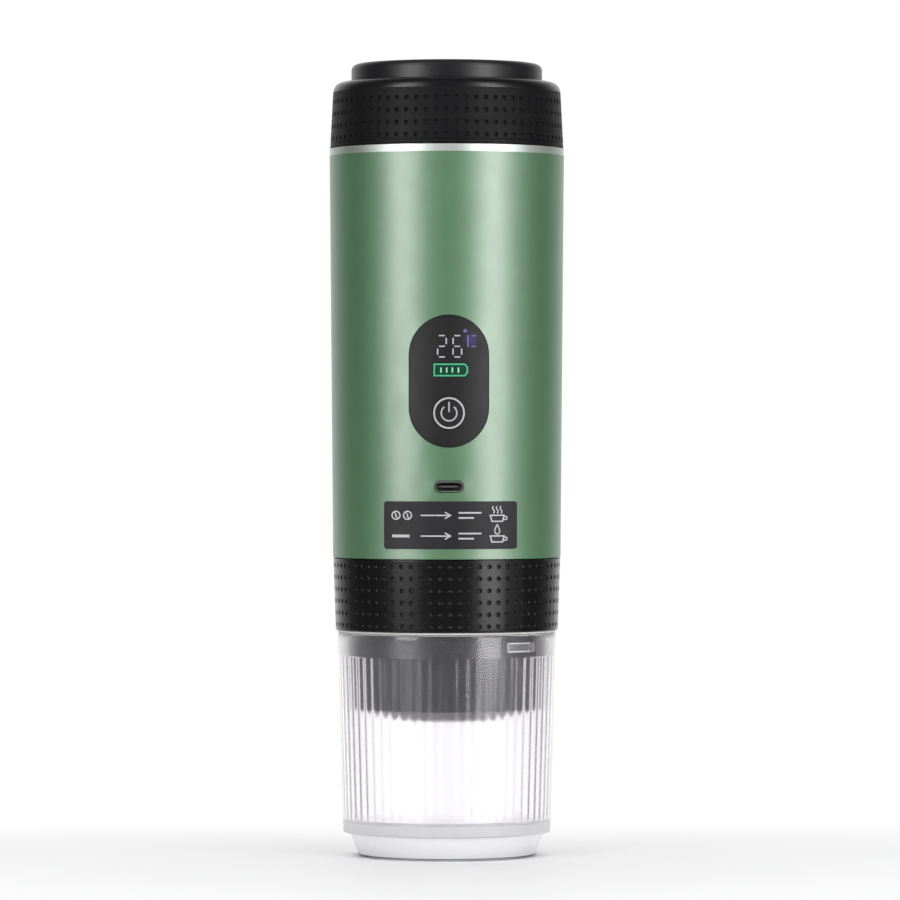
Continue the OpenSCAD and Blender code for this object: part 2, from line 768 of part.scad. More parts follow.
module pump_head() color("#e8e4da") difference() {
    union() {
        disc(pump_d / 2, z_pump, z_pump_top);
        disc(barb_r, z_pump_top - eps, z_pump_top + barb_l);
        rotate([0, 0, tube_angle]) translate([0, -arm_w / 2, z_arm])
            cube([tube_at + arm_w / 2, arm_w, arm_h]);
    }
    disc(pump_cavity_r, z_pump - past, z_stroke);
    disc(stroke_r, z_stroke - eps, z_stroke + stroke_h);
    disc(barb_bore, z_stroke, z_pump_top + barb_l + past);
    rotate([0, 0, tube_angle]) translate([stroke_r / 2, 0, z_stroke + stroke_h / 2]) rotate([0, 90, 0])
        cylinder(r = passage_r, h = tube_at - stroke_r / 2);
    at_angles([tube_angle], tube_at) {
        disc(tube_r + pin_gap, z_arm - past, z_arm + socket_depth);
        disc(tube_bore / 2, z_arm, z_stroke + stroke_h);
    }
}

module pump_diaphragm() color("#303030") disc(pump_cavity_r - touch_gap, z_diaphragm, z_stroke);

module pump_rotor() color("lightgray") {
    disc(shaft_r, z_motor + shaft_floor + fit_gap, z_pump + cam_up + cam_h);
    translate([cam_offset, 0, 0]) disc(cam_r, z_pump + cam_up, z_pump + cam_up + cam_h);
}

module outlet_tube() color("silver") at_angles([tube_angle], tube_at)
    pipe(tube_r, tube_bore, z_base + tube_end, z_arm + socket_depth - touch_gap);

// Board, panel, button and port

module control_board() color("darkgreen") difference() {
    translate([-board_w / 2, -board_front, z_board]) cube([board_w, board_t, z_board_top - z_board]);
    board_screw_places() translate([0, 0, -board_t - past])
        cylinder(r = board_screw_r + touch_gap, h = board_t + 2 * past);
}

module board_screws() color("silver") board_screw_places() {
    translate([0, 0, -board_t - board_screw_head_r / 2])
        cylinder(r = board_screw_head_r, h = board_screw_head_r / 2);
    translate([0, 0, -board_t - eps])
        cylinder(r = board_screw_r, h = board_t + front_post_w - board_screw_end);
}

module display_module() color("#15151a")
    translate([-display_w / 2, -board_front - display_depth, z_display - display_h / 2])
        cube([display_w, display_depth, display_h]);

module panel_lens() color("#2a2a2c") difference() {
    union() {
        sleeve_patch(z_panel, -sleeve_wall - lens_flange, -lens_sink)
            stadium(panel_w - 2 * lens_gap, panel_h - 2 * lens_gap);
        sleeve_patch(z_panel, -sleeve_wall - lens_flange, -sleeve_wall - touch_gap / 2)
            stadium(panel_w + 2 * lens_lip, panel_h + 2 * lens_lip);
    }
    from_front(z_button, past, sleeve_top_d) circle(button_r + button_gap);
}

module power_button() color("#2a2a2c") {
    sleeve_patch(z_button, -sleeve_wall - lens_flange - touch_gap - button_flange_t, -lens_sink)
        circle(button_r);
    from_front(z_button, button_back, lens_back - touch_gap) circle(button_stem_r);
    sleeve_patch(z_button, -sleeve_wall - lens_flange - touch_gap - button_flange_t,
        -sleeve_wall - lens_flange - touch_gap) circle(button_r + button_flange);
}

module tact_switch() color("dimgray") {
    from_front(z_button, board_front, board_front + switch_depth) square(switch_w, center = true);
    from_front(z_button, board_front + switch_depth - eps, board_front + switch_depth + switch_stem_h)
        circle(switch_stem_r);
}

module usb_port() color("silver") {
    difference() {
        from_front(z_port, board_front, board_front + port_depth) stadium(port_w, port_h);
        from_front(z_port, board_front + port_floor, board_front + port_depth + past)
            stadium(port_w - 2 * port_wall, port_h - 2 * port_wall);
    }
    from_front(z_port, board_front + port_floor / 2, board_front + tongue_l)
        square([tongue_w, tongue_t], center = true);
}

module info_label() color("#333336") sleeve_patch(z_label, label_gap, label_gap + label_t)
    translate([label_side, 0]) round_rect(label_w, label_h, label_round);

module motor_leads() color("crimson") for (s = [-1, 1])
    wire([[s * motor_lead_x, -motor_d / 2, z_motor + motor_lead_up],
          [s * motor_lead_x, -board_back, z_motor + motor_lead_up]]);

module heater_leads() color("white") for (s = [-1, 1])
    wire([[s * heater_lead_x, -board_back + heater_lead_in, z_heater],
          [s * heater_lead_x, -board_back + heater_lead_in, z_board_top - heater_lead_down],
          [s * heater_lead_x, -board_back, z_board_top - heater_lead_down]]);

// Lid

module lid_gasket() color("firebrick")
    pipe(neck_r, tank_in + lid_gasket_in, z_tank_top + touch_gap, z_tank_top + touch_gap + lid_gasket_h);

module lid_shell() color("#26262a") {
    difference() {
        rotate_extrude() difference() {
            polygon([
                [lid_bore, z_lid], [lid_bot_r, z_lid], [lid_top_d / 2, z_lid_top],
                [recess_r, z_lid_top], [recess_r, z_recess], [0, z_recess], [0, z_roof], [lid_bore, z_roof]
            ]);
            corner_cut(lid_r(z_lid_top - lid_round), z_lid_top, lid_round);
        }
        disc(vent_r, z_roof - past, z_recess + past);
    }
    thread_ridge(lid_bore, lid_bore - ridge_h, z_trim_top + thread_start, female_turns);
}

module lid_plate() color("#2a2a2e") rotate_extrude() difference() {
    translate([0, z_recess + touch_gap]) square([plate_d / 2, z_top - z_recess - touch_gap]);
    translate([-past, z_recess]) square([plate_d / 2 - plate_wall + past, z_top - plate_wall - z_recess]);
    corner_cut(plate_d / 2, z_top, plate_round);
}

module lid_vent() color("gainsboro") {
    disc(vent_r - touch_gap, z_roof - eps, z_recess + eps);
    disc(vent_flange_r, z_recess, z_recess + vent_flange_t);
    disc(vent_bulb_r, z_roof - vent_bulb_h, z_roof);
}

drinking_cup();
head_grip_ring();
brew_chamber();
cup_seal();
coffee_basket();
filter_screen();
outlet_nozzle();
brew_gasket();
body_sleeve();
trim_ring();
tank_neck();
tank_seal();
water_tank();
heater_plate();
thermistor();
thermal_fuse();
tank_hose();
chassis();
battery_cell(cell_angles[0]);  // battery_cell_1
battery_cell(cell_angles[1]);  // battery_cell_2
battery_cell(cell_angles[2]);  // battery_cell_3
cell_contacts();
control_board();
board_screws();
display_module();
panel_lens();
tact_switch();
usb_port();
info_label();
pump_motor();
pump_mount();
pump_head();
pump_diaphragm();
outlet_tube();
base_plug();
base_screws();
shower_plate();
shower_screw();
motor_leads();
heater_leads();
pump_rotor();
power_button();
lid_gasket();
lid_shell();
lid_plate();
lid_vent();
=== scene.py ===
"""Dresses the portable espresso maker: pitted rings, fluted cup, prints, materials and studio."""
import math

import bmesh
import bpy
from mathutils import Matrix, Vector


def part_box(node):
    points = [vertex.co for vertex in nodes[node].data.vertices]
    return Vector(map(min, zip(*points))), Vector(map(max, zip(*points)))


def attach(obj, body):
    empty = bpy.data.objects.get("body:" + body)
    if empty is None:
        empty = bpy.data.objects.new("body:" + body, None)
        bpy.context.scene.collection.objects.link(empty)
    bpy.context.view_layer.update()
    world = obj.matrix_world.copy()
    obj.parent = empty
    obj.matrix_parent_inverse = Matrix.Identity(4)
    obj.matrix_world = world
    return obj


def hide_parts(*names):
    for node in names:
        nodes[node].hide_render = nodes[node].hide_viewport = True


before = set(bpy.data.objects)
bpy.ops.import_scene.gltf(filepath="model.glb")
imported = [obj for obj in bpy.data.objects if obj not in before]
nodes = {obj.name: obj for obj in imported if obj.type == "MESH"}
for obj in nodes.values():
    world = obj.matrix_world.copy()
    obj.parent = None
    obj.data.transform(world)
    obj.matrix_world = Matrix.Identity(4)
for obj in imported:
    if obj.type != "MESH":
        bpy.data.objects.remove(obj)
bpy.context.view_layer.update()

# The object's sizes are in millimetres, with the foot at 0 and the front towards -Y
MM = 0.001
X, Z = 0, 2


def span(node, axis):
    """Lowest and highest place of a solid along an axis."""
    low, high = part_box(node)
    return low[axis] / MM, high[axis] / MM


def midway(node, axis):
    """Middle of a solid along an axis."""
    return sum(span(node, axis)) / 2


# Colours and materials


def srgb(text):
    """Linear colour from an sRGB hex string."""
    parts = [int(text[i:i + 2], 16) / 255 for i in (0, 2, 4)]
    return tuple(c / 12.92 if c <= 0.04045 else ((c + 0.055) / 1.055) ** 2.4 for c in parts) + (1.0,)


def add(tree, kind, inputs=None, **settings):
    """Adds a shader node with its settings, values and links."""
    made = tree.nodes.new("ShaderNode" + kind)
    for key, value in settings.items():
        setattr(made, key, value)
    for key, value in (inputs or {}).items():
        if isinstance(value, bpy.types.NodeSocket):
            tree.links.new(value, made.inputs[key])
        else:
            made.inputs[key].default_value = value
    return made


# How far a grain is drawn out along X, Y and Z: not at all, in lines, or with the flow of a moulding
EVEN = (1, 1, 1)
UPRIGHT, ROUND, ACROSS = (1, 1, 60), (60, 60, 1), (1, 40, 1)
WAVES, STREAKS = (1, 1, 3), (1, 1, 12)
# Detail of the noises, the part of a mottle's range that counts, and the share by which the gloss follows it
DETAIL = 3.0
MOTTLE_LOW, MOTTLE_HIGH, GLOSS_SHARE = 0.3, 0.7, 0.1


def finish(name, dark, light, rough, grain_mm=0.25, depth_mm=0.006, stretch=EVEN, fixed=None, linked=None,
           mottle_mm=6.0, lamps_pass=False):
    """Material with a fine grain for its relief and a wide mottle for its colour and gloss.

    A grain has about its real size, so from a step away it shows only as gloss. stretch draws it out along an
    axis, and the colour then follows it. fixed holds constant inputs of the shader, and linked gives inputs
    that have nodes of their own. A clear wall that lets the lamps pass throws no black shadow.
    """
    made = bpy.data.materials.new(name)
    made.use_nodes = True
    tree = made.node_tree
    tree.nodes.clear()
    place = add(tree, "TexCoord").outputs["Object"]
    scale = [1 / (along * grain_mm * MM) for along in stretch]
    drawn = add(tree, "Mapping", {"Vector": place, "Scale": scale}).outputs["Vector"]
    fine = add(tree, "TexNoise", {"Vector": drawn, "Scale": 1.0, "Detail": DETAIL}).outputs["Fac"]
    mottle = {"Vector": place, "Scale": 1 / (mottle_mm * MM), "Detail": DETAIL}
    wide = add(tree, "TexNoise", mottle).outputs["Fac"]
    shade = wide if stretch == EVEN else fine
    colour = add(tree, "Mix", {"Factor": shade, "A": srgb(dark), "B": srgb(light)}, data_type="RGBA")
    gloss = add(tree, "MapRange", {"Value": wide, "From Min": MOTTLE_LOW, "From Max": MOTTLE_HIGH,
                                   "To Min": rough * (1 - GLOSS_SHARE), "To Max": rough * (1 + GLOSS_SHARE)})
    relief = add(tree, "Bump", {"Height": fine, "Distance": depth_mm * MM, "Strength": 1.0}).outputs["Normal"]
    inputs = {"Base Color": colour.outputs["Result"], "Roughness": gloss.outputs["Result"], "Normal": relief}
    inputs.update(fixed or {})
    if linked:
        inputs.update(linked(tree, place, relief))
    surface = add(tree, "BsdfPrincipled", inputs).outputs["BSDF"]
    if lamps_pass:
        shadow = add(tree, "LightPath").outputs["Is Shadow Ray"]
        unseen = add(tree, "BsdfTransparent").outputs["BSDF"]
        surface = add(tree, "MixShader", {0: shadow, 1: surface, 2: unseen}).outputs["Shader"]
    add(tree, "OutputMaterial", {"Surface": surface})
    return made


PLASTIC_IOR, CLEAR_IOR = 1.5, 1.52


def moulded(name, dark, light, rough, shine=0.5, grain_mm=0.25, depth_mm=0.006, linked=None):
    """Moulded plastic: the mould's fine texture and an even colour."""
    fixed = {"IOR": PLASTIC_IOR, "Specular IOR Level": shine}
    return finish(name, dark, light, rough, grain_mm, depth_mm, fixed=fixed, linked=linked)


def metal(name, dark, light, rough, stretch=EVEN, grain_mm=0.12):
    """Bare metal: brushed, turned or rolled grain along the stretched axes."""
    return finish(name, dark, light, rough, grain_mm, depth_mm=0.003, stretch=stretch, mottle_mm=9.0,
                  fixed={"Metallic": 1.0})


def silicone(name, dark, light):
    """Moulded silicone: soft, matt and a little translucent."""
    soft = {"Subsurface Weight": 0.2, "Subsurface Radius": (0.002, 0.0015, 0.001), "Subsurface Scale": 0.3}
    return finish(name, dark, light, rough=0.56, grain_mm=0.4, depth_mm=0.004, fixed=soft, mottle_mm=4.0)


def ink(name, dark, light, lit=0.0):
    """Screen-printed or back-lit ink with a fine speckle."""
    lamp = {"Emission Color": srgb(light), "Emission Strength": lit, "Specular IOR Level": 0.25}
    return finish(name, dark, light, rough=0.5, grain_mm=0.12, depth_mm=0.002, fixed=lamp, mottle_mm=0.5)


SLEEVE_DARK, SLEEVE_LIGHT = "457b4d", "4c8355"
FLAKE_MM, FLAKE_TILT_MM = 0.11, 0.0004


def flake(tree, place, relief):
    """Metal flake in the colour coat; the relief is the clear coat's faint orange peel.

    Real flake is about 0.03 mm across, too fine to show, and is drawn coarser so that it shows from close by.
    """
    cells = add(tree, "TexVoronoi", {"Vector": place, "Scale": 1 / (FLAKE_MM * MM)}).outputs["Color"]
    spot = add(tree, "SeparateColor", {"Color": cells}).outputs["Red"]
    colours = {"Factor": spot, "A": srgb(SLEEVE_DARK), "B": srgb(SLEEVE_LIGHT)}
    colour = add(tree, "Mix", colours, data_type="RGBA")
    tilt = add(tree, "Bump", {"Height": spot, "Distance": FLAKE_TILT_MM * MM, "Strength": 1.0})
    return {"Base Color": colour.outputs["Result"], "Normal": tilt.outputs["Normal"], "Coat Normal": relief}


BOARD_DARK, BOARD_LIGHT, TRACK_GREEN = "12532c", "155a31", "2b7a49"
TRACK_PITCH_MM, TRACK_SHARE, TRACK_RISE_MM = 3.2, 0.06, 0.02


def tracks(tree, place, relief):
    """Copper tracks under the solder mask, a little raised."""
    lines = add(tree, "TexBrick", {"Vector": place, "Scale": 1 / (TRACK_PITCH_MM * MM),
                                   "Mortar Size": TRACK_SHARE, "Mortar": srgb(TRACK_GREEN),
                                   "Color1": srgb(BOARD_DARK), "Color2": srgb(BOARD_LIGHT)})
    copper = lines.outputs["Fac"]
    raised = add(tree, "Bump", {"Height": copper, "Distance": TRACK_RISE_MM * MM, "Strength": 1.0})
    return {"Base Color": lines.outputs["Color"], "Normal": raised.outputs["Normal"]}


# Where the plate's dry top begins below its highest point, how soon it is fully dry, and its two roughnesses
TOP_DROP, TOP_FADE = 0.25, 0.2
SIDE_ROUGH, TOP_ROUGH = 0.38, 0.85


def dry_top(tree, place, relief):
    """The plate's flat top is sparked dry and even, and its side stays satin."""
    edge = span("lid_plate", Z)[1] - TOP_DROP
    height = add(tree, "SeparateXYZ", {"Vector": place}).outputs["Z"]
    dry = add(tree, "MapRange", {"Value": height, "From Min": edge * MM, "From Max": (edge + TOP_FADE) * MM,
                                 "To Min": SIDE_ROUGH, "To Max": TOP_ROUGH})
    return {"Roughness": dry.outputs["Result"]}


CLEAR = {"Transmission Weight": 1.0, "IOR": CLEAR_IOR, "Specular IOR Level": 0.3}
MILKY = {"Transmission Weight": 0.5, "IOR": CLEAR_IOR}
LACQUER = {"Metallic": 0.6, "IOR": 1.5, "Coat Weight": 1.0, "Coat IOR": 2.2, "Coat Roughness": 0.42}
PANEL = {"dark": "191919", "light": "1d1d1d", "rough": 0.5, "shine": 0.37, "grain_mm": 0.4, "depth_mm": 0.002}

# One material for each slot of the record, named for the real material and how its surface was made
MATERIALS = {
    # See-through, with faint flow waves and a light haze
    "clear_plastic": finish("clear copolyester, moulded", "fbf9fc", "fefcff", rough=0.17, grain_mm=14,
                            depth_mm=0.02, stretch=WAVES, fixed=CLEAR, mottle_mm=3.0, lamps_pass=True),
    # Deep black with narrow satin highlights between the pits
    "black_grip": moulded("black polypropylene, fine-textured moulding", "131314", "171718", rough=0.25,
                          shine=0.3, depth_mm=0.002),
    # A softer and greyer black than the grip's, with an even, dry top
    "lid_black": moulded("black polypropylene, satin moulding", "1c1c1e", "212124", rough=0.34, shine=0.38,
                         depth_mm=0.002, linked=dry_top),
    # Dull black with a dry mould texture
    "black_plastic": moulded("black nylon, moulded", "141416", "1c1c1f", rough=0.42),
    # Smoky near-black with soft upright highlights
    "smoked_plastic": moulded("smoke-grey copolyester, moulded", "121214", "18181a", rough=0.37, shine=0.36,
                              grain_mm=0.3, depth_mm=0.002),
    # Soft and matt, each in its own colour
    "white_silicone": silicone("white silicone, moulded", "d9d8d4", "e6e5e1"),
    "grey_silicone": silicone("grey silicone, moulded", "8d8d90", "9b9b9e"),
    "red_silicone": silicone("red silicone, moulded", "8e1f1a", "a02a23"),
    "hose_silicone": silicone("natural silicone hose, extruded", "d8cfc2", "e6ddd0"),
    # Bright steel with rings left by the drawing
    "basket_steel": metal("stainless steel, deep drawn", "b4b2ae", "c8c6c2", rough=0.26, stretch=ROUND),
    "tank_steel": metal("stainless steel, deep drawn and polished", "bbb9b6", "cfcdca", rough=0.2,
                        stretch=ROUND),
    # Greyer steel, evenly dulled by the etching
    "mesh_steel": metal("stainless steel screen, etched", "9d9b98", "b0aeab", rough=0.34),
    # Steel with lines along the tube, or round the shaft and the can
    "tube_steel": metal("stainless steel tube, drawn", "b6b4b1", "c6c4c1", rough=0.24, stretch=UPRIGHT),
    "shaft_steel": metal("steel shaft, ground", "a5a4a3", "bab9b8", rough=0.22, stretch=ROUND),
    "motor_steel": metal("zinc-plated steel can, drawn", "a8abaf", "bdc0c4", rough=0.3, stretch=ROUND),
    # Pale satin nickel that catches the light on its rim
    "port_steel": metal("nickel-plated steel shell, stamped", "8d928e", "9ba09c", rough=0.5),
    # Cool pale zinc
    "screw_steel": metal("zinc-plated steel screw, headed", "aeb0b3", "c0c2c5", rough=0.3),
    # Warm pale strip with rolling lines
    "nickel": metal("nickel strip, rolled", "b9b5ab", "cac6bc", rough=0.28, stretch=ACROSS),
    # Green with a soft metallic glow and two broad, blurred highlights
    "green_sleeve": finish("steel sleeve, satin green metallic lacquer", SLEEVE_DARK, SLEEVE_LIGHT, rough=0.7,
                           grain_mm=1.6, depth_mm=0.002, fixed=LACQUER, linked=flake),
    # Silvery and evenly bright, with hair-fine lines round the ring, drawn about twice as coarse as real ones
    "silver_trim": metal("aluminium ring, brushed and anodised", "ccd3ce", "d5dbd7", rough=0.5, stretch=ROUND,
                         grain_mm=0.06),
    # Plain grey with a milled grain
    "heater_aluminium": metal("aluminium plate, cast and milled", "b2b2b4", "c2c2c4", rough=0.36),
    # Thin blue skin with faint wrinkles
    "cell_wrap": moulded("blue shrink sleeve on a battery cell", "2a5878", "326488", rough=0.35, grain_mm=1.5,
                         depth_mm=0.02),
    # Glossy bead with an uneven skin
    "black_epoxy": moulded("black epoxy bead, dipped", "111113", "19191b", rough=0.3, grain_mm=0.8,
                           depth_mm=0.02),
    # Tan and dull
    "fuse_body": moulded("thermal fuse body, potted", "a8957a", "b7a488", rough=0.5),
    # Off-white and dull, from the glass fibres
    "white_plastic": moulded("white nylon, glass filled, moulded", "cfccc4", "dddad2", rough=0.5),
    # Ivory with a waxy gloss
    "pump_plastic": moulded("ivory acetal, moulded", "d5cfc0", "e2dccd", rough=0.42),
    # Dark green with paler lines over the tracks
    "board_green": finish("circuit board, green solder mask", BOARD_DARK, BOARD_LIGHT, rough=0.36,
                          linked=tracks, mottle_mm=1.0),
    # Black mirror
    "display_glass": moulded("display glass, black bordered", "08080a", "0e0e11", rough=0.08, grain_mm=2.0,
                             depth_mm=0.001),
    # Dark grey with a wide, even sheen
    "panel_gloss": moulded("smoked acrylic panel, satin hard coat", **PANEL),
    "button_gloss": moulded("smoked acrylic button, satin hard coat", **PANEL),
    # Warm dark grey with a fine film texture
    "label_film": moulded("dark grey polyester label film", "1d1c1f", "222124", rough=0.55, shine=0.35,
                          grain_mm=0.15, depth_mm=0.003),
    # Smooth coloured sleeves
    "red_lead": moulded("red PVC wire sleeve, extruded", "a01c18", "b32722", rough=0.4),
    "white_lead": moulded("white silicone wire sleeve, extruded", "dad8d3", "e8e6e1", rough=0.45),
}
# Signs lit from behind, dim against the dark panel
LIT_DIGIT = ink("display digits, white, lit from behind", "aca9b4", "b4b1bc", lit=0.25)
LIT_GREEN = ink("battery sign, green, lit from behind", "45a67c", "4cb086", lit=0.25)
LIT_BAR = ink("battery bars, pale green, lit from behind", "8fc9a9", "98d2b2", lit=0.3)
DIM_GREEN = ink("battery sign's fill, dark green", "023822", "044128", lit=0.1)
HALO_GREEN = ink("panel lit faintly by the battery sign", "0a2118", "0d271c", lit=0.1)
LIT_VIOLET = ink("degree sign, violet, lit from behind", "655a92", "6e639c", lit=0.25)
# Flat prints
BLACK_INK = ink("black border ink, screen printed", "0a0b0a", "0e0f0e")
WHITE_INK = ink("white ink, screen printed", "bcbcc0", "c4c4c8")
LABEL_INK = ink("white ink on label film, screen printed", "c4c4c7", "cccccf")
# The lid's wall scatters the light to a dry black, and its rounded shoulder shines
LID_MATT = moulded("black polypropylene, matt-textured moulding", "131315", "18181a", rough=0.52, shine=0.13,
                   depth_mm=0.003)
LID_SATIN = moulded("black polypropylene, smooth moulding", "111113", "161618", rough=0.28, shine=0.42,
                    depth_mm=0.002)
# Thick ends of the clear moulding: pale and milky with upright flow streaks, the band a greyer copy as
# painted shade
MILKY_FOOT = finish("clear copolyester, thick moulded foot", "f6f6f7", "fcfcfd", rough=0.38, grain_mm=1.6,
                    depth_mm=0.01, stretch=STREAKS, fixed=MILKY)
MILKY_BAND_SHADED = finish("clear copolyester, thick moulded band, painted shade", "cfcfd1", "d9d9db", rough=0.38, grain_mm=1.6,
                    depth_mm=0.01, stretch=STREAKS, fixed=MILKY)
# Grey and dull at the foot's standing edge: painted contact shade, the dark line where the foot meets the
# floor
CONTACT_SHADE_EDGE = moulded("clear copolyester, standing edge, painted contact shade", "67686a", "757678", rough=0.6)
# White and even: a painted highlight on the cup's rim and along the lugs' edges
PAINTED_HIGHLIGHT_EDGE = moulded("clear copolyester, edge painted white as a highlight", "dde1e1", "e9eded", rough=0.5)
# Near black, round a plate whose sheared edge shows as a thin grey line
TONGUE = moulded("black liquid-crystal polymer, moulded", "171817", "1d1e1d", rough=0.45)
TONGUE_PLATE = metal("stainless steel strip, sheared edge", "7c7c78", "888884", rough=0.55)
# Warm yellow metal
GOLD = metal("gold-plated contact, stamped", "c9a14e", "dcb562", rough=0.22, stretch=ACROSS)

for solid in nodes.values():
    for slot in solid.material_slots:
        slot.material = MATERIALS[slot.material.name.split(".")[0]]


# Meshes


def piece(name, points, faces, material, body, slot, stands_for=None, sharp=35.0):
    """Object from points, with its faces turned outwards and its edges smoothed under an angle in degrees."""
    mesh = bpy.data.meshes.new(name)
    mesh.from_pydata([(x * MM, y * MM, z * MM) for x, y, z in points], [], faces)
    net = bmesh.new()
    net.from_mesh(mesh)
    bmesh.ops.recalc_face_normals(net, faces=net.faces[:])
    net.to_mesh(mesh)
    net.free()
    mesh.shade_smooth()
    mesh.set_sharp_from_angle(angle=math.radians(sharp))
    mesh.materials.append(material)
    made = bpy.data.objects.new(name, mesh)
    bpy.context.scene.collection.objects.link(made)
    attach(made, body)
    if stands_for:
        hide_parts(stands_for)
    return made


def polar(r, angle, z):
    return (r * math.cos(angle), r * math.sin(angle), z)


def arc(cx, cz, r, start, end, count):
    """Points of a round in a turned outline, angles in degrees."""
    turn = [math.radians(start + (end - start) * i / count) for i in range(count + 1)]
    return [(cx + r * math.cos(t), cz + r * math.sin(t)) for t in turn]


def cone(z0, r0, z1, r1):
    """Radius of a tapered wall at any height."""
    return lambda z: r0 + (r1 - r0) * (z - z0) / (z1 - z0)


def band(a, b):
    """Faces between two closed rings of points."""
    count = len(a)
    return [(a[i], a[(i + 1) % count], b[(i + 1) % count], b[i]) for i in range(count)]


def fan(ring, tip):
    """Faces from a closed ring to one point."""
    count = len(ring)
    return [(ring[i], ring[(i + 1) % count], tip) for i in range(count)]


def swept(count):
    """Faces of a four-sided section carried along a number of steps, with its ends closed."""
    sides = [(4 * i + k, 4 * i + (k + 1) % 4, 4 * i + 4 + (k + 1) % 4, 4 * i + 4 + k)
             for i in range(count) for k in range(4)]
    return sides + [(0, 1, 2, 3), (4 * count + 3, 4 * count + 2, 4 * count + 1, 4 * count)]


def join(*parts):
    """One set of points and faces from several."""
    points, faces = [], []
    for part_points, part_faces in parts:
        faces += [tuple(i + len(points) for i in face) for face in part_faces]
        points += part_points
    return points, faces


# Grip rings: pits in a net of cells, each pit turned from its (radius, depth) outline

COLUMNS, CELL_STEPS = 72, 4
AROUND, PIT_SIDES = COLUMNS * CELL_STEPS, 4 * CELL_STEPS
PIT_OUTLINE = ((0.78, 0.0), (0.71, 0.09), (0.63, 0.42), (0.40, 0.60))
PIT_DEPTH, FIRST_CORNER = 0.64, 225


def pitted_ring(rows, edges, wall_r, turn, closing):
    """Points and faces of a ring whose outer wall has round pits.

    rows are the pits' levels, edges the levels between them, wall_r(z) the wall's radius, turn the first
    column's place in degrees, and closing the outline from the wall's top edge round the inside to its bottom
    edge.
    """
    points, faces, found = [], [], {}
    start = math.radians(turn)
    side = range(CELL_STEPS)

    def border(level, step):
        """Point on the edge between cells, made once."""
        key = (level, step % AROUND)
        if key not in found:
            row, part = divmod(level, CELL_STEPS)
            low, high = edges[row], edges[min(row + 1, len(rows))]
            z = low + (high - low) * part / CELL_STEPS
            found[key] = len(points)
            points.append(polar(wall_r(z), start + 2 * math.pi * (step % AROUND) / AROUND, z))
        return found[key]

    for row, middle in enumerate(rows):
        for column in range(COLUMNS):
            low, left = CELL_STEPS * row, CELL_STEPS * column
            high, right = low + CELL_STEPS, left + CELL_STEPS
            rim = [border(low, left + i) for i in side] + [border(low + i, right) for i in side]
            rim += [border(high, right - i) for i in side] + [border(high - i, left) for i in side]
            centre = start + 2 * math.pi * (left + CELL_STEPS / 2) / AROUND
            rings = [rim]
            for r, depth in PIT_OUTLINE:
                ring = []
                for i in range(PIT_SIDES):
                    swing = math.radians(FIRST_CORNER + 360 / PIT_SIDES * i)
                    z = middle + r * math.sin(swing)
                    reach = wall_r(z) - depth
                    ring.append(len(points))
                    points.append(polar(reach, centre + r * math.cos(swing) / reach, z))
                rings.append(ring)
            for outer, inner in zip(rings, rings[1:]):
                faces += band(outer, inner)
            points.append(polar(wall_r(middle) - PIT_DEPTH, centre, middle))
            faces += fan(rings[-1], len(points) - 1)

    first = [border(0, i) for i in range(AROUND)]
    previous = [border(CELL_STEPS * len(rows), i) for i in range(AROUND)]
    for r, z in closing:
        ring = list(range(len(points), len(points) + AROUND))
        points += [polar(r, start + 2 * math.pi * i / AROUND, z) for i in range(AROUND)]
        faces += band(previous, ring)
        previous = ring
    return points, faces + band(previous, first)


# Lid ring: pitted wall, shoulder, recess for the plate, roof, threaded bore and a fine groove near the bottom

SEAT_GAP = 0.1
LID_Z, LID_TOP_Z = span("lid_shell", Z)
LID_R = span("lid_shell", X)[1]
LID_TOP_R, LID_WALL, LID_ROUND = 36.2, 3.4, 3.2
LID_BORE = LID_R - LID_WALL
LID_ROWS, LID_PITCH, LID_FIRST_ROW, LID_NET_LOW, LID_TURN = 4, 3.9, 2.8, 1.75, 1.1
LID_PLAIN, LID_CHAMFER, LID_EDGE_ROUND = 0.6, 0.6, 0.25
ROOF_Z = span("lid_gasket", Z)[1] + SEAT_GAP
RECESS_Z = span("lid_plate", Z)[0] - SEAT_GAP
RECESS_R, RECESS_ROUND, VENT_R = 30.8, 0.4, 2.0
# Height of the groove's lower edge, and its outline as (height, depth) from there
GROOVE_RISE, GROOVE = 1.2, ((0, 0), (0.1, 0.18), (0.35, 0.18), (0.45, 0))
THREAD_LEAD, THREAD_TURNS, THREAD_STEPS, THREAD_RISE = 4.5, 0.7, 96, 1.2
THREAD_SINK, THREAD_REACH, ROOT_HALF, CREST_HALF = 0.2, 1.1, 1.2, 0.5

lid_r = cone(LID_Z, LID_R, LID_TOP_Z, LID_TOP_R)
lid_rows = [LID_Z + LID_FIRST_ROW + LID_PITCH * i for i in range(LID_ROWS)]
lid_edges = [LID_Z + LID_NET_LOW] + [z + LID_PITCH / 2 for z in lid_rows]
groove_z = LID_Z + GROOVE_RISE
shoulder_z = LID_TOP_Z - LID_ROUND
plain_z = shoulder_z - LID_PLAIN
lid_closing = [(lid_r(plain_z), plain_z)]
lid_closing += arc(lid_r(shoulder_z) - LID_ROUND, shoulder_z, LID_ROUND, 0, 90, 12)
lid_closing += arc(RECESS_R + RECESS_ROUND, LID_TOP_Z - RECESS_ROUND, RECESS_ROUND, 90, 180, 4)
lid_closing += [(RECESS_R, RECESS_Z), (VENT_R, RECESS_Z), (VENT_R, ROOF_Z), (LID_BORE, ROOF_Z)]
lid_closing += [(LID_BORE, LID_Z + LID_CHAMFER), (LID_BORE + LID_CHAMFER, LID_Z)]
lid_closing += arc(LID_R - LID_EDGE_ROUND, LID_Z + LID_EDGE_ROUND, LID_EDGE_ROUND, 270, 360, 3)
lid_closing += [(lid_r(groove_z + up) - deep, groove_z + up) for up, deep in GROOVE]


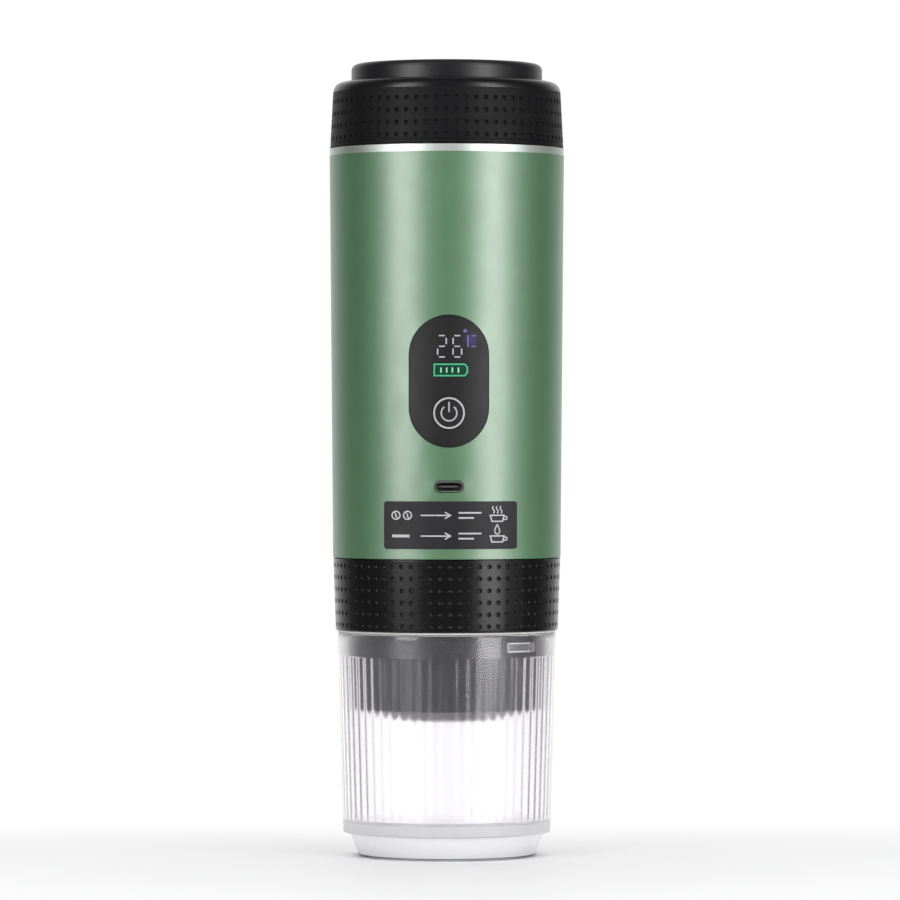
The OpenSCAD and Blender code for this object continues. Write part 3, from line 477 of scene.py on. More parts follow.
def lid_thread():
    """Points and faces of the helical ridge in the lid's bore, of trapezoid section."""
    count = int(THREAD_STEPS * THREAD_TURNS)
    root_r, crest_r = LID_BORE + THREAD_SINK, LID_BORE - THREAD_REACH
    section = ((root_r, -ROOT_HALF), (crest_r, -CREST_HALF), (crest_r, CREST_HALF), (root_r, ROOT_HALF))
    points = []
    for i in range(count + 1):
        turn = 2 * math.pi * THREAD_TURNS * i / count
        z = LID_Z + THREAD_RISE + THREAD_LEAD * THREAD_TURNS * i / count
        points += [polar(r, turn, z + up) for r, up in section]
    return points, swept(count)


lid_ring = pitted_ring(lid_rows, lid_edges, lid_r, LID_TURN, lid_closing)
lid = piece("lid_ring_with_pits", *join(lid_ring, lid_thread()), LID_MATT, "lid", "black_grip", "lid_shell")
lid.data.materials.append(LID_SATIN)
for face in lid.data.polygons:
    face.material_index = int(face.center.z > (shoulder_z - LID_PLAIN / 2) * MM)

# Brew head's grip ring

HEAD_Z, HEAD_TOP_Z = span("head_grip_ring", Z)
HEAD_R, HEAD_TOP_R, HEAD_BORE, HEAD_ROUND = 35.5, 36.3, 34.0, 0.35
HEAD_ROWS, HEAD_PITCH, HEAD_FIRST_ROW, HEAD_TURN = 6, 3.77, 1.95, -1.8
HEAD_NET_LOW, HEAD_NET_HIGH = HEAD_Z + 0.5, HEAD_TOP_Z - 0.6

head_r = cone(HEAD_Z, HEAD_R, HEAD_TOP_Z, HEAD_TOP_R)
head_rows = [HEAD_Z + HEAD_FIRST_ROW + HEAD_PITCH * i for i in range(HEAD_ROWS)]
head_edges = [HEAD_NET_LOW] + [z + HEAD_PITCH / 2 for z in head_rows[:-1]] + [HEAD_NET_HIGH]
head_closing = arc(HEAD_TOP_R - HEAD_ROUND, HEAD_TOP_Z - HEAD_ROUND, HEAD_ROUND, 0, 90, 4)
head_closing += [(HEAD_BORE, HEAD_TOP_Z), (HEAD_BORE, HEAD_Z)]
head_closing += arc(HEAD_R - HEAD_ROUND, HEAD_Z + HEAD_ROUND, HEAD_ROUND, 270, 360, 4)
head_ring = pitted_ring(head_rows, head_edges, head_r, HEAD_TURN, head_closing)
piece("brew_head_ring_with_pits", *head_ring, MATERIALS["black_grip"], "brew_head", "black_grip",
      "head_grip_ring")

# Cup: smooth outside, flutes inside, plain seat, inset foot, two key lugs

FOOT_R, FOOT_TOP_R, FOOT_H = 28.2, 30.8, 7.2
CUP_R, CUP_TOP_R, CUP_WALL = 33.1, 35.0, 2.4
FLUTES, FLUTE_DEPTH, CUP_STEPS = 60, 0.2, 720
FLOOR_Z, SEAT_DEPTH, SEAT_LEDGE = 10.5, 7.5, 0.15
STAND_ROUND, RIM_ROUND, RIM_LIP, RIM_BREAK = 0.5, 0.8, 0.4, 0.1
RIM_Z = span("drinking_cup", Z)[1]
SEAT_Z = RIM_Z - SEAT_DEPTH
# Levels of the wall's rings outside, on the seat and on the flutes
WALL_LEVELS = (8.4, 9.5, 10.7, 14, 22, 36, 50, 60, 65.5, 68.5)
SEAT_LEVELS = (68.5, 66.0, SEAT_Z + 0.05)
FLUTE_LEVELS = (SEAT_Z, 62.5, 56, 48, 38, 28, 20, 14.5)

foot_r = cone(0, FOOT_R, FOOT_H, FOOT_TOP_R)
cup_r = cone(FOOT_H, CUP_R, RIM_Z, CUP_TOP_R)


def cup_in(z):
    return cup_r(z) - CUP_WALL


def fluted(z, share=1.0):
    """Outline point on the ribs' tops, with the share of the flutes' full depth that is cut there."""
    return (cup_in(z) - SEAT_LEDGE - FLUTE_DEPTH, z, share)


def plain(pairs):
    return [(r, z, 0.0) for r, z in pairs]


foot = [(25.8, 0.3), (26.1, 0.0), (27.7, 0.0)] + arc(27.75, STAND_ROUND, STAND_ROUND, 280, 345, 4)
foot += [(foot_r(z), z) for z in (2.6, 5.4)]
foot += [(30.7, 6.5), (31.0, 7.0), (31.6, FOOT_H), (32.5, FOOT_H)]
outside = arc(32.6, FOOT_H + STAND_ROUND, STAND_ROUND, 285, 358, 4)
outside += [(cup_r(z), z) for z in WALL_LEVELS]
rim = arc(CUP_TOP_R - RIM_ROUND, RIM_Z - RIM_ROUND, RIM_ROUND, 0, 90, 6)
rim += [(cup_in(RIM_Z) + RIM_LIP, RIM_Z), (cup_in(RIM_Z) + RIM_BREAK, RIM_Z - RIM_BREAK)]
rim += [(cup_in(RIM_Z - RIM_LIP), RIM_Z - RIM_LIP)]
seat = [(cup_in(z), z) for z in SEAT_LEVELS]
cup_outline = plain(foot + outside + rim + seat)
cup_outline += [fluted(z) for z in FLUTE_LEVELS] + [fluted(11.7, 0.9)]
cup_outline += [(cup_in(11) - 1.1, FLOOR_Z + 0.45, 0.5), (cup_in(11) - 1.8, FLOOR_Z + 0.1, 0.2)]
cup_outline += plain([(27.5, FLOOR_Z), (18, FLOOR_Z), (8, FLOOR_Z)])
under = plain([(8, FOOT_H), (18, FOOT_H), (27.3, FOOT_H), (27.85, 6.95), (28.0, 6.3), (26.95, 3.2)])


def cup_shell():
    """Points and faces of the cup, its flutes cut by a cosine round the wall."""
    turns = [2 * math.pi * i / CUP_STEPS for i in range(CUP_STEPS)]
    waves = [FLUTE_DEPTH * (1 - math.cos(FLUTES * t)) / 2 for t in turns]
    points, faces = [], []

    def ring(r, z, share):
        points.extend(polar(r + share * w, t, z) for t, w in zip(turns, waves))
        return list(range(len(points) - CUP_STEPS, len(points)))

    shell = [ring(*entry) for entry in cup_outline]
    below = [ring(*entry) for entry in under]
    for a, b in [*zip(shell, shell[1:]), *zip(below, below[1:]), (below[-1], shell[0])]:
        faces += band(a, b)
    for last, z in ((shell[-1], FLOOR_Z), (below[0], FOOT_H)):
        points.append((0, 0, z))
        faces += fan(last, len(points) - 1)
    return points, faces


# Places and width of the lugs in degrees, their reach from the wall, and the frame in each one's inner face
LUG_PLACES, LUG_WIDE = (315, 135), 19.0
LUG_LOW, LUG_HIGH = SEAT_Z + 1.9, SEAT_Z + 4.9
LUG_IN, LUG_OUT = cup_in(SEAT_Z) - 1.5, cup_in(SEAT_Z) + 0.07
FRAME_WIDE, FRAME_SINK, FRAME_SHORT = 0.34, 0.03, 2.2
FRAME_LOW, FRAME_HIGH = LUG_LOW + 0.05, LUG_HIGH - 0.03


def block(middle, wide, r_in, r_out, z0, z1, steps=10):
    """Points and faces of a block that follows the wall, with its middle and width in degrees."""
    points = []
    for i in range(steps + 1):
        turn = math.radians(middle - wide / 2 + wide * i / steps)
        points += [polar(r, turn, z) for r, z in ((r_in, z0), (r_out, z0), (r_out, z1), (r_in, z1))]
    return points, swept(steps)


def lug_frame(middle):
    """Thin frame just inside a lug's inner face, open at one end, which stands in for the bright lines along
    the lug's edges.
    """
    r_in = LUG_IN + FRAME_SINK
    r_out = r_in + FRAME_WIDE
    side = math.degrees(FRAME_WIDE / LUG_IN)
    reach = LUG_WIDE / 2 - side
    level_middle, level_wide = middle - FRAME_SHORT / 2, 2 * reach - FRAME_SHORT
    return [block(level_middle, level_wide, r_in, r_out, FRAME_LOW, FRAME_LOW + FRAME_WIDE),
            block(level_middle, level_wide, r_in, r_out, FRAME_HIGH - FRAME_WIDE, FRAME_HIGH),
            block(middle - reach, side, r_in, r_out, FRAME_LOW, FRAME_HIGH, 1)]


lugs = [block(middle, LUG_WIDE, LUG_IN, LUG_OUT, LUG_LOW, LUG_HIGH) for middle in LUG_PLACES]
cup = piece("fluted_cup", *join(cup_shell(), *lugs), MATERIALS["clear_plastic"], "cup", "clear_plastic",
            "drinking_cup", sharp=40.0)

# The cup's faces that aren't clear: its rim, painted white as a highlight, and what is thick below the floor
# and in the round above it
RIM_HIGHLIGHT_FACE, SHADED_BAND_FACE, FOOT_FACE, CONTACT_SHADE_FACE = 1, 2, 3, 4
RIM_HIGHLIGHT_DROP, THICK_R, ROUND_H, CONTACT_SHADE_H = 0.2, 25, 1.0, 0.4
THICK_TOP, BAND_Z = FLOOR_Z - 0.05, FOOT_H - 0.1
for material in (PAINTED_HIGHLIGHT_EDGE, MILKY_BAND_SHADED, MILKY_FOOT, CONTACT_SHADE_EDGE):
    cup.data.materials.append(material)
for face in cup.data.polygons:
    x, y, z = (c / MM for c in face.center)
    r = math.hypot(x, y)
    if z > RIM_Z - RIM_HIGHLIGHT_DROP:
        face.material_index = RIM_HIGHLIGHT_FACE
    elif z < THICK_TOP and r > THICK_R:
        # The band's faces take the greyer copy, painted shade
        # The standing edge's faces take the grey of painted contact shade
        face.material_index = SHADED_BAND_FACE if z > BAND_Z else FOOT_FACE if z > CONTACT_SHADE_H else CONTACT_SHADE_FACE
    elif z < FLOOR_Z + ROUND_H and THICK_R < r < cup_in(z):
        face.material_index = FOOT_FACE
# The lug frames are painted white: a painted highlight along the lugs' edges
frames = [part for middle in LUG_PLACES for part in lug_frame(middle)]
piece("lug_edge_highlights", *join(*frames), PAINTED_HIGHLIGHT_EDGE, "cup", "clear_plastic")


# Prints on the sleeve: flat shapes seen from the front, laid on the taper and given a thickness

SLEEVE_Z, SLEEVE_TOP_Z = span("body_sleeve", Z)
SLEEVE_R, SLEEVE_TOP_R = 36.4, span("body_sleeve", X)[1]
STRIDE, SHARPEST_MITRE = 1.0, 0.5
sleeve_r = cone(SLEEVE_Z, SLEEVE_R, SLEEVE_TOP_Z, SLEEVE_TOP_R)


def on_sleeve(x, z, lift):
    """Point at a lift from the sleeve's outside."""
    r = sleeve_r(z) + lift
    return (x, -math.sqrt(r * r - x * x), z)


def stroke(line, width, closed=False):
    """Flat ribbon along a line of (x, z) points, mitred at its corners, in lengths that follow the taper."""
    ends = list(zip(line, line[1:] + line[:1] if closed else line[1:]))
    line = [] if closed else line[:1]
    for (x0, z0), (x1, z1) in ends:
        parts = max(1, math.ceil(math.hypot(x1 - x0, z1 - z0) / STRIDE))
        line += [(x0 + (x1 - x0) * i / parts, z0 + (z1 - z0) * i / parts) for i in range(1, parts + 1)]
    count = len(line)
    points = []
    for i, (x, z) in enumerate(line):
        before = line[i - 1] if closed or i else None
        after = line[(i + 1) % count] if closed or i < count - 1 else None
        ways = [Vector(b) - Vector(a) for a, b in ((before, (x, z)), ((x, z), after)) if a and b]
        ways = [w.normalized() for w in ways]
        along = sum(ways, Vector((0, 0))).normalized()
        side = Vector((-along.y, along.x)) * (width / 2) / max(SHARPEST_MITRE, along.dot(ways[0]))
        points += [(x + side.x, z + side.y), (x - side.x, z - side.y)]
    last = count if closed else count - 1
    return points, [(2 * i, 2 * i + 1, 2 * ((i + 1) % count) + 1, 2 * ((i + 1) % count)) for i in range(last)]


def bar(x0, z0, x1, z1, width):
    return stroke([(x0, z0), (x1, z1)], width)


def blob(outline):
    """Flat convex shape."""
    return list(outline), [tuple(range(len(outline)))]


def circle(x, z, r, count=24, start=0.0, end=360.0):
    """Points of a circle, or of an arc with both its ends, angles in degrees."""
    turn = [math.radians(start + (end - start) * i / count) for i in range(count + (end - start < 360))]
    return [(x + r * math.cos(t), z + r * math.sin(t)) for t in turn]


def moved(shapes, x, z):
    """Flat shapes moved along the sleeve's front."""
    return [([(a + x, b + z) for a, b in points], faces) for points, faces in shapes]


def printed(name, shapes, low, high, material, body, slot):
    """Raised print on the sleeve between two lifts from its outside."""
    points, faces = [], []
    for flat, flat_faces in shapes:
        base, count = len(points), len(flat)
        points += [on_sleeve(x, z, high) for x, z in flat] + [on_sleeve(x, z, low) for x, z in flat]
        uses = {}
        for face in flat_faces:
            faces.append(tuple(base + i for i in face))
            faces.append(tuple(base + count + i for i in reversed(face)))
            for a, b in zip(face, face[1:] + face[:1]):
                uses.setdefault(frozenset((a, b)), []).append((a, b))
        for used in uses.values():
            if len(used) == 1:
                a, b = used[0]
                faces.append((base + b, base + a, base + count + a, base + count + b))
    return piece(name, points, faces, material, body, slot)


# Panel: a border, digits, a degree sign with its lamp's glow, a battery sign and the button's power sign

# Lifts of a sign's bottom and top, and how far fills and lit patches lie below the signs
INK_LOW, INK_HIGH, FILL_SINK, LAMP_SINK = -0.14, -0.05, 0.02, 0.04
PANEL_Z = midway("panel_lens", Z)


def panel_sign(name, shapes, material, sink=0.0):
    """Print on the panel, its shapes placed from the panel's middle and sunk below the other signs."""
    placed = moved(shapes, 0, PANEL_Z)
    printed(name, placed, INK_LOW - sink, INK_HIGH - sink, material, "main_body", "panel_gloss")


BORDER_INK, LENS_LIP = 0.3, 1.5
lens_low, lens_high = span("panel_lens", Z)
panel_r = span("panel_lens", X)[1] - LENS_LIP - BORDER_INK / 2
panel_straight = (lens_high - lens_low - BORDER_INK) / 2 - LENS_LIP - panel_r
panel_edge = circle(0, panel_straight, panel_r, 24, 0, 180)
panel_edge += circle(0, -panel_straight, panel_r, 24, 180, 360)
panel_sign("panel_border", [stroke(panel_edge, BORDER_INK, True)], BLACK_INK)

GLOW_X, GLOW_Z, GLOW_REACH, GLOW_STRIP, GLOW_VIOLET = 6.78, 13.05, 3.4, 0.5, "2c2358"


def violet_lamp(tree, place, relief):
    """Light of a lamp behind the panel, which fades out over its reach."""
    lamp = [c * MM for c in on_sleeve(GLOW_X, PANEL_Z + GLOW_Z, 0)]
    off = add(tree, "VectorMath", {0: place, 1: lamp}, operation="DISTANCE").outputs["Value"]
    fade = add(tree, "MapRange", {"Value": off, "From Min": 0.0, "From Max": GLOW_REACH * MM, "To Min": 1.0,
                                  "To Max": 0.0}, interpolation_type="SMOOTHSTEP").outputs["Result"]
    colours = {"Factor": fade, "A": srgb("000000"), "B": srgb(GLOW_VIOLET)}
    colour = add(tree, "Mix", colours, data_type="RGBA").outputs["Result"]
    return {"Emission Color": colour, "Emission Strength": 1.0}


glow_rows = int(GLOW_REACH / GLOW_STRIP)
glow_levels = [GLOW_STRIP * i for i in range(-glow_rows, glow_rows + 1)]
glow_halves = [math.sqrt(GLOW_REACH * GLOW_REACH - up * up) for up in glow_levels]
glow_strips = [bar(GLOW_X - half, GLOW_Z + up, GLOW_X + half, GLOW_Z + up, GLOW_STRIP)
               for up, half in zip(glow_levels, glow_halves)]
VIOLET_PANEL = moulded("smoked acrylic panel, violet lamp behind", **PANEL, linked=violet_lamp)
panel_sign("degree_glow", glow_strips, VIOLET_PANEL, LAMP_SINK)

DIGIT_WIDE, DIGIT_TALL, DIGIT_Z, DIGIT_INK = 2.7, 6.68, 10.93, 0.42
LEVEL_SEGMENT, UPRIGHT_SEGMENT = 1.8, 1.95
LEFT_DIGIT_X, RIGHT_DIGIT_X = -2.24, 2.6


def digit(x, levels, uprights):
    """Seven-segment digit, from the heights of its level bars and the (side, height) of its upright ones."""
    half, rise, step = LEVEL_SEGMENT / 2, UPRIGHT_SEGMENT / 2, DIGIT_TALL / 4
    heights = [DIGIT_Z + 2 * step * up for up in levels]
    places = [(x + side * DIGIT_WIDE / 2, DIGIT_Z + step * up) for side, up in uprights]
    level_bars = [bar(x - half, z, x + half, z, DIGIT_INK) for z in heights]
    return level_bars + [bar(a, z - rise, a, z + rise, DIGIT_INK) for a, z in places]


two = digit(LEFT_DIGIT_X, (1, 0, -1), ((1, 1), (-1, -1)))
six = digit(RIGHT_DIGIT_X, (1, 0, -1), ((-1, 1), (-1, -1), (1, -1)))
panel_sign("panel_digits", two + six, LIT_DIGIT)

DOT_X, DOT_Z, DOT_R = 5.11, 15.78, 0.6
STEM_X, STEM_LOW, STEM_HIGH, STEM_INK = 5.96, 10.76, 14.37, 0.48
ARM_LEFT, ARM_RIGHT, ARM_LEVELS, ARM_INK = 7.03, 8.5, (14.24, 10.92), 0.42
degree = [blob(circle(DOT_X, DOT_Z, DOT_R)), bar(STEM_X, STEM_HIGH, STEM_X, STEM_LOW, STEM_INK)]
degree += [bar(ARM_LEFT, z, ARM_RIGHT, z, ARM_INK) for z in ARM_LEVELS]
panel_sign("panel_degree", degree, LIT_VIOLET)

CELL_LEFT, CELL_RIGHT, CELL_TIP, CELL_Z = -4.64, 4.99, 5.74, 3.51
CELL_HALF, TIP_HALF, CELL_INK = 1.79, 0.79, 0.48
BAR_PLACES, BAR_LOW, BAR_HIGH, BAR_INK = (-2.54, -0.75, 1.04, 2.95), CELL_Z - 0.83, CELL_Z + 0.8, 0.46
FILL_RIGHT, FILL_TALL = CELL_RIGHT + 0.25, 3.5
HALO_LEFT, HALO_RIGHT, HALO_TALL = CELL_LEFT - 0.54, CELL_TIP + 0.19, 4.8
half_cell = [(CELL_LEFT, CELL_HALF), (CELL_RIGHT, CELL_HALF), (CELL_TIP, TIP_HALF)]
cell = [(x, CELL_Z + up) for x, up in half_cell] + [(x, CELL_Z - up) for x, up in reversed(half_cell)]
panel_sign("battery_sign", [stroke(cell, CELL_INK, True)], LIT_GREEN)
panel_sign("battery_bars", [bar(x, BAR_LOW, x, BAR_HIGH, BAR_INK) for x in BAR_PLACES], LIT_BAR)
panel_sign("battery_fill", [bar(CELL_LEFT, CELL_Z, FILL_RIGHT, CELL_Z, FILL_TALL)], DIM_GREEN, FILL_SINK)
panel_sign("battery_halo", [bar(HALO_LEFT, CELL_Z, HALO_RIGHT, CELL_Z, HALO_TALL)], HALO_GREEN, LAMP_SINK)

POWER_Z = midway("power_button", Z)
RING_R, RING_INK = 4.7, 0.56
OPEN_R, OPEN_START, OPEN_END, OPEN_INK = 2.45, 128, 412, 0.46
MARK_LOW, MARK_HIGH = POWER_Z + 0.3, POWER_Z + 3.5
power = [stroke(circle(0, POWER_Z, RING_R, 64), RING_INK, True)]
power += [stroke(circle(0, POWER_Z, OPEN_R, 32, OPEN_START, OPEN_END), OPEN_INK)]
power += [bar(0, MARK_LOW, 0, MARK_HIGH, OPEN_INK)]
printed("power_sign", power, INK_LOW, INK_HIGH, WHITE_INK, "button", "button_gloss")


# Label: own plain pictograms in two rows, from beans to hot drink and from water to cup

LABEL_X, LABEL_Z = midway("info_label", X), midway("info_label", Z)
LABEL_INK_LOW, LABEL_INK_HIGH = 0.14, 0.2
ROW_Z, LOW_ROW_Z, BEANS_X, ARROW_X, LINES_X, DRINK_X = 3.1, -3.4, (-17.2, -13.6), -9.5, 2.4, 14.6
ARROW_LONG, ARROW_SHAFT, ARROW_BACK, ARROW_HALF, ARROW_INK = 9.3, 8.6, 7.6, 1.0, 0.42
BEAN_R, BEAN_INK, SEAM_INK = 1.25, 0.4, 0.32
BOWL_DROP, BOWL_INK, HANDLE_INK = 0.9, 0.4, 0.36
HEAT_X, HEAT_RISE, HEAT_SWAY, HEAT_STEP, HEAT_INK = (-1.2, 0, 1.2), 0.6, 0.32, 0.28, 0.34
WATER_LEFT, WATER_RIGHT, WATER_INK = -18.4, -13.0, 0.9
DROP_RISE, DROP_WIDE, DROP_TALL, DROP_POINTED, DROP_POINTS, DROP_INK = 2.1, 1.05, 1.5, 1.2, 20, 0.36
# Short lines after an arrow: height and length
NOTE_LINES, NOTE_INK = ((0.8, 7.2), (-0.8, 4.8)), 0.5


def arrow(z):
    """Arrow of one row: shaft and head."""
    tip, back = ARROW_X + ARROW_LONG, ARROW_X + ARROW_BACK
    head = [(back, z + ARROW_HALF), (tip, z), (back, z - ARROW_HALF)]
    return [bar(ARROW_X, z, ARROW_X + ARROW_SHAFT, z, ARROW_INK), stroke(head, ARROW_INK)]


def bean(x):
    """Round bean with its seam."""
    seam = [(x - 0.5, ROW_Z + 0.9), (x + 0.15, ROW_Z), (x - 0.15, ROW_Z - 0.2), (x + 0.5, ROW_Z - 0.9)]
    return [stroke(circle(x, ROW_Z, BEAN_R, 20), BEAN_INK, True), stroke(seam, SEAM_INK)]


def bowl(x, z):
    """Bowl with a handle."""
    sides = [(x - 2.2, z + 0.9), (x - 1.7, z - 1.0), (x + 1.7, z - 1.0), (x + 2.2, z + 0.9)]
    handle = [(x + 2.2, z + 0.6), (x + 3.1, z + 0.4), (x + 3.0, z - 0.4), (x + 2.0, z - 0.5)]
    return [stroke(sides, BOWL_INK, True), stroke(handle, HANDLE_INK)]


def heat(x, z):
    """One wave of heat."""
    line = [(x + HEAT_SWAY * math.sin(i * math.pi / 4), z + HEAT_STEP * i) for i in range(9)]
    return stroke(line, HEAT_INK)


def water_drop(x, z):
    """Drop with its point upwards."""
    turns = [2 * math.pi * i / DROP_POINTS for i in range(DROP_POINTS)]
    halves = [DROP_WIDE * math.sin(t) * math.sin(t / 2) ** DROP_POINTED for t in turns]
    line = [(x + half, z + DROP_TALL * math.cos(t)) for half, t in zip(halves, turns)]
    return stroke(line, DROP_INK, True)


signs = [shape for x in BEANS_X for shape in bean(x)]
signs += [heat(DRINK_X + x, ROW_Z + HEAT_RISE) for x in HEAT_X]
signs += [bar(WATER_LEFT, LOW_ROW_Z, WATER_RIGHT, LOW_ROW_Z, WATER_INK)]
signs += [water_drop(DRINK_X, LOW_ROW_Z + DROP_RISE)]
for z in (ROW_Z, LOW_ROW_Z):
    signs += arrow(z) + bowl(DRINK_X, z - BOWL_DROP)
    signs += [bar(LINES_X, z + up, LINES_X + length, z + up, NOTE_INK) for up, length in NOTE_LINES]
printed("label_pictograms", moved(signs, LABEL_X, LABEL_Z), LABEL_INK_LOW, LABEL_INK_HIGH, LABEL_INK,
        "main_body", "label_film")


# Charging port: moulded tongue, the plate in it and its contacts, in half sizes and (front, back) depths

PORT_Z = midway("usb_port", Z)
TONGUE_HALF, TONGUE_THICK, TONGUE_Y = 3.37, 0.37, (-34.32, -28.83)
PLATE_HALF, PLATE_THICK, PLATE_Y = 3.1, 0.2, (-34.38, -33.0)
CONTACTS, CONTACT_PITCH, CONTACT_FIRST_X, CONTACT_RISE = 12, 0.5, -2.75, 0.385
CONTACT_HALF, CONTACT_THICK, CONTACT_Y = 0.15, 0.02, (-34.1, -31.0)


def slab(x, z, half, thick, depths):
    """Points and faces of a block in the port."""
    points = [(a, y, b) for a in (x - half, x + half) for y in depths for b in (z - thick, z + thick)]
    return points, [(0, 1, 3, 2), (4, 6, 7, 5), (0, 4, 5, 1), (2, 3, 7, 6), (0, 2, 6, 4), (1, 5, 7, 3)]


tongue = slab(0, PORT_Z, TONGUE_HALF, TONGUE_THICK, TONGUE_Y)
piece("port_tongue", *tongue, TONGUE, "main_body", "black_plastic")
tongue_plate = slab(0, PORT_Z, PLATE_HALF, PLATE_THICK, PLATE_Y)
piece("port_tongue_plate", *tongue_plate, TONGUE_PLATE, "main_body", "port_steel")
contact_places = [(CONTACT_FIRST_X + CONTACT_PITCH * i, PORT_Z + side * CONTACT_RISE)
                  for i in range(CONTACTS) for side in (-1, 1)]
contacts = [slab(x, z, CONTACT_HALF, CONTACT_THICK, CONTACT_Y) for x, z in contact_places]
piece("port_contacts", *join(*contacts), GOLD, "main_body", "nickel")


# Studio, in metres and watts: paper that runs out to white, soft boxes with strips above them, a white field

def studio_object(name, data, place, aim=None):
    """Object that isn't part of the maker, turned to what it aims at."""
    made = bpy.data.objects.new(name, data)
    bpy.context.scene.collection.objects.link(made)
    made.location = place
    if aim is not None:
        made.rotation_euler = (Vector(aim) - Vector(place)).to_track_quat("-Z", "Y").to_euler()
    return made


# Depth where the paper behind the maker is white, distances over which it turns white all round, and its
# white's level seen through the clear cup
WHITE_DEPTH, WHITE_NEAR, WHITE_FAR, WHITE_THROUGH = 0.16, 0.3, 0.9, 1.02


def studio_paper():
    """Pale matt paper, faintly mottled, that fades to white behind the part."""
    made = finish("studio paper, matt white", "e6e6e7", "ebebec", rough=0.6, grain_mm=0.5, depth_mm=0.004,
                  fixed={"Specular IOR Level": 0.2}, mottle_mm=30)
    tree = made.node_tree
    matt = next(n for n in tree.nodes if n.type == "BSDF_PRINCIPLED").outputs["BSDF"]
    shown = next(n for n in tree.nodes if n.type == "OUTPUT_MATERIAL").inputs["Surface"]
    place = add(tree, "TexCoord").outputs["Object"]
    depth = add(tree, "SeparateXYZ", {"Vector": place}).outputs["Y"]
    behind = add(tree, "MapRange", {"Value": depth, "From Min": 0.0, "From Max": WHITE_DEPTH},
                 interpolation_type="SMOOTHSTEP")
    distance = add(tree, "VectorMath", {0: place}, operation="LENGTH").outputs["Value"]
    away = add(tree, "MapRange", {"Value": distance, "From Min": WHITE_NEAR, "From Max": WHITE_FAR},
               interpolation_type="SMOOTHSTEP")
    far = add(tree, "Math", {0: behind.outputs["Result"], 1: away.outputs["Result"]}, operation="MAXIMUM")
    through = add(tree, "LightPath").outputs["Is Transmission Ray"]
    level = add(tree, "MapRange", {"Value": through, "To Min": 1.0, "To Max": WHITE_THROUGH})
    white = add(tree, "Emission", {"Color": (1, 1, 1, 1), "Strength": level.outputs["Result"]})
    mixed = add(tree, "MixShader", {0: far.outputs["Value"], 1: matt, 2: white.outputs["Emission"]})
    tree.links.new(mixed.outputs["Shader"], shown)
    return made


def flat_paper(name, front, back, half, level, material):
    """Flat paper on the floor between two depths."""
    mesh = bpy.data.meshes.new(name)
    corners = [(-half, front, 0), (half, front, 0), (half, back, 0), (-half, back, 0)]
    mesh.from_pydata(corners, [], [(0, 1, 2, 3)])
    mesh.materials.append(material)
    return studio_object(name, mesh, (0, 0, level))


paper = studio_paper()
table = flat_paper("studio table", front=-0.2, back=4, half=0.25, level=-0.0004, material=paper)
table.visible_camera = table.visible_shadow = False
floor = flat_paper("studio floor", front=-4, back=4, half=4, level=-0.0003, material=paper)
floor.visible_glossy = floor.visible_diffuse = floor.visible_shadow = False

LIGHT_DISTANCE, LIGHT_ANGLE = 0.9, 44


def soft_light(name, width, height, power, place, aim):
    """Soft rectangular light that the camera doesn't see."""
    light = bpy.data.lights.new(name, "AREA")
    light.shape = "RECTANGLE"
    light.size = width
    light.size_y = height
    light.energy = power
    made = studio_object(name, light, place, aim)
    made.visible_camera = False
    return made


def soft_box(name, angle, width, height, middle, power):
    """Tall soft light at an angle from the front, towards +X when positive."""
    turn = math.radians(angle)
    place = (LIGHT_DISTANCE * math.sin(turn), -LIGHT_DISTANCE * math.cos(turn), middle)
    return soft_light(name, width, height, power, place, (0, 0, middle))


soft_box("left soft box", -LIGHT_ANGLE, width=0.4, height=0.39, middle=0.255, power=3.75)
soft_box("right soft box", LIGHT_ANGLE, width=0.4, height=0.47, middle=0.215, power=4.5)
soft_box("right fill", 70, width=0.35, height=0.47, middle=0.215, power=0.3)
# The strips above the soft boxes light the lid's shoulder and are seen only in gloss
for name, angle in (("left top strip", -LIGHT_ANGLE), ("right top strip", LIGHT_ANGLE)):
    strip = soft_box(name, angle, width=0.4, height=0.7, middle=0.81, power=4.0)
    strip.visible_diffuse = False
overhead = soft_light("overhead soft box", width=1.6, height=1.6, power=24.5, place=(0, -0.1, 1.6),
                      aim=(0, 0, 0))
overhead.visible_glossy = False

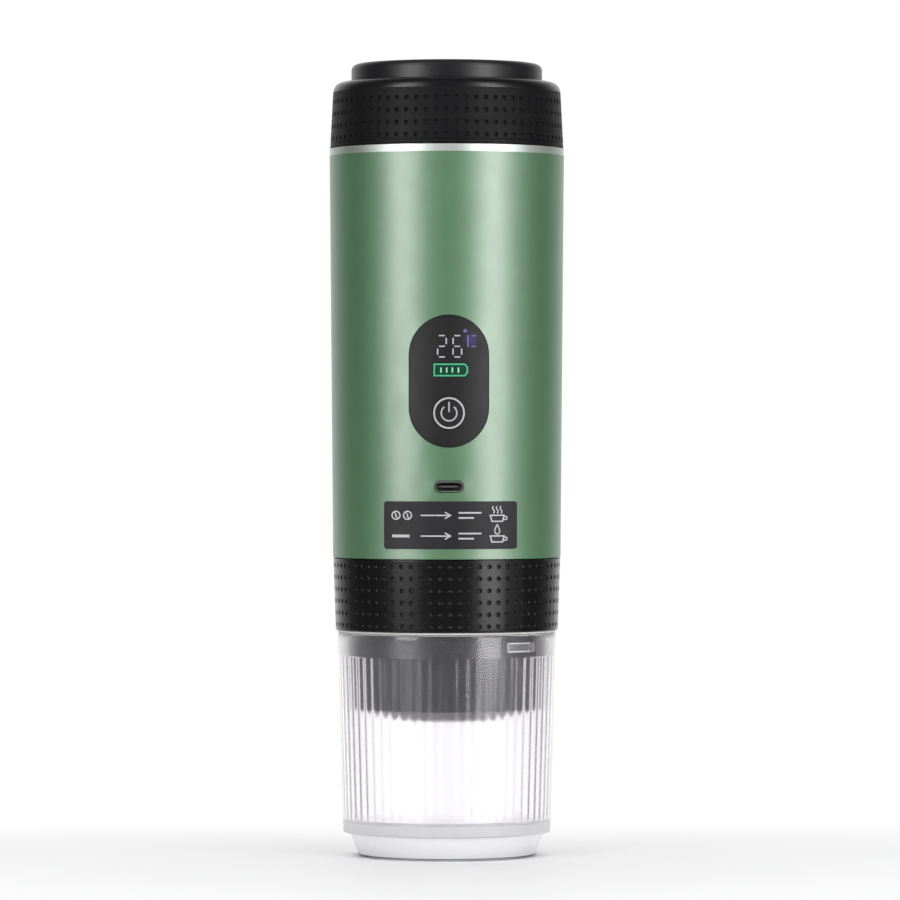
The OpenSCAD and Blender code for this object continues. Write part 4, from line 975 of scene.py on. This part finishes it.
# White field, from the front to the back: its levels for gloss and diffuse light, and for what shows through
# the clear cup; the camera itself sees plain white
FIELD_LEVELS = ((0.0, 0.05), (0.3, 0.03), (0.6, 0.03), (0.74, 0.12), (0.84, 0.6), (0.95, 1.25))
THROUGH_LOW, THROUGH_HIGH, THROUGH_FROM, THROUGH_TO = 0.87, 1.03, -0.2, 0.9

world = bpy.data.worlds.new("white studio")
world.use_nodes = True
bpy.context.scene.world = world
sky = world.node_tree
sky.nodes.clear()
way = add(sky, "SeparateXYZ", {"Vector": add(sky, "TexCoord").outputs["Generated"]}).outputs["Y"]
front_to_back = add(sky, "MapRange", {"Value": way, "From Min": -1.0, "From Max": 1.0}).outputs["Result"]
field = add(sky, "ValToRGB", {"Fac": front_to_back})
stops = field.color_ramp.elements
while len(stops) < len(FIELD_LEVELS):
    stops.new(0.5)
for stop, (where, level) in zip(stops, FIELD_LEVELS):
    stop.position = where
    stop.color = (level, level, level, 1)
rays = add(sky, "LightPath")
through = add(sky, "MapRange", {"Value": way, "From Min": THROUGH_FROM, "From Max": THROUGH_TO,
                                "To Min": THROUGH_LOW, "To Max": THROUGH_HIGH}).outputs["Result"]
lit = add(sky, "Mix", {"Factor": rays.outputs["Is Transmission Ray"], "A": field.outputs["Color"],
                       "B": through}, data_type="RGBA").outputs["Result"]
seen = add(sky, "Mix", {"Factor": rays.outputs["Is Camera Ray"], "A": lit, "B": (1, 1, 1, 1)},
           data_type="RGBA").outputs["Result"]
shown = add(sky, "Background", {"Color": seen, "Strength": 1.0}).outputs["Background"]
add(sky, "OutputWorld", {"Surface": shown})

LENS_MM, SENSOR_MM, NEAREST = 228.6, 36.0, 0.05
CAMERA_PLACE, CAMERA_AIM = (-0.0351, -1.8282, 0.1347), (0.00102, 0, 0.1292)
lens = bpy.data.cameras.new("camera")
lens.lens = LENS_MM
lens.sensor_width = SENSOR_MM
lens.clip_start = NEAREST
bpy.context.scene.camera = studio_object("camera", lens, CAMERA_PLACE, CAMERA_AIM)
bpy.context.scene.view_settings.view_transform = "Standard"

bpy.context.view_layer.update()
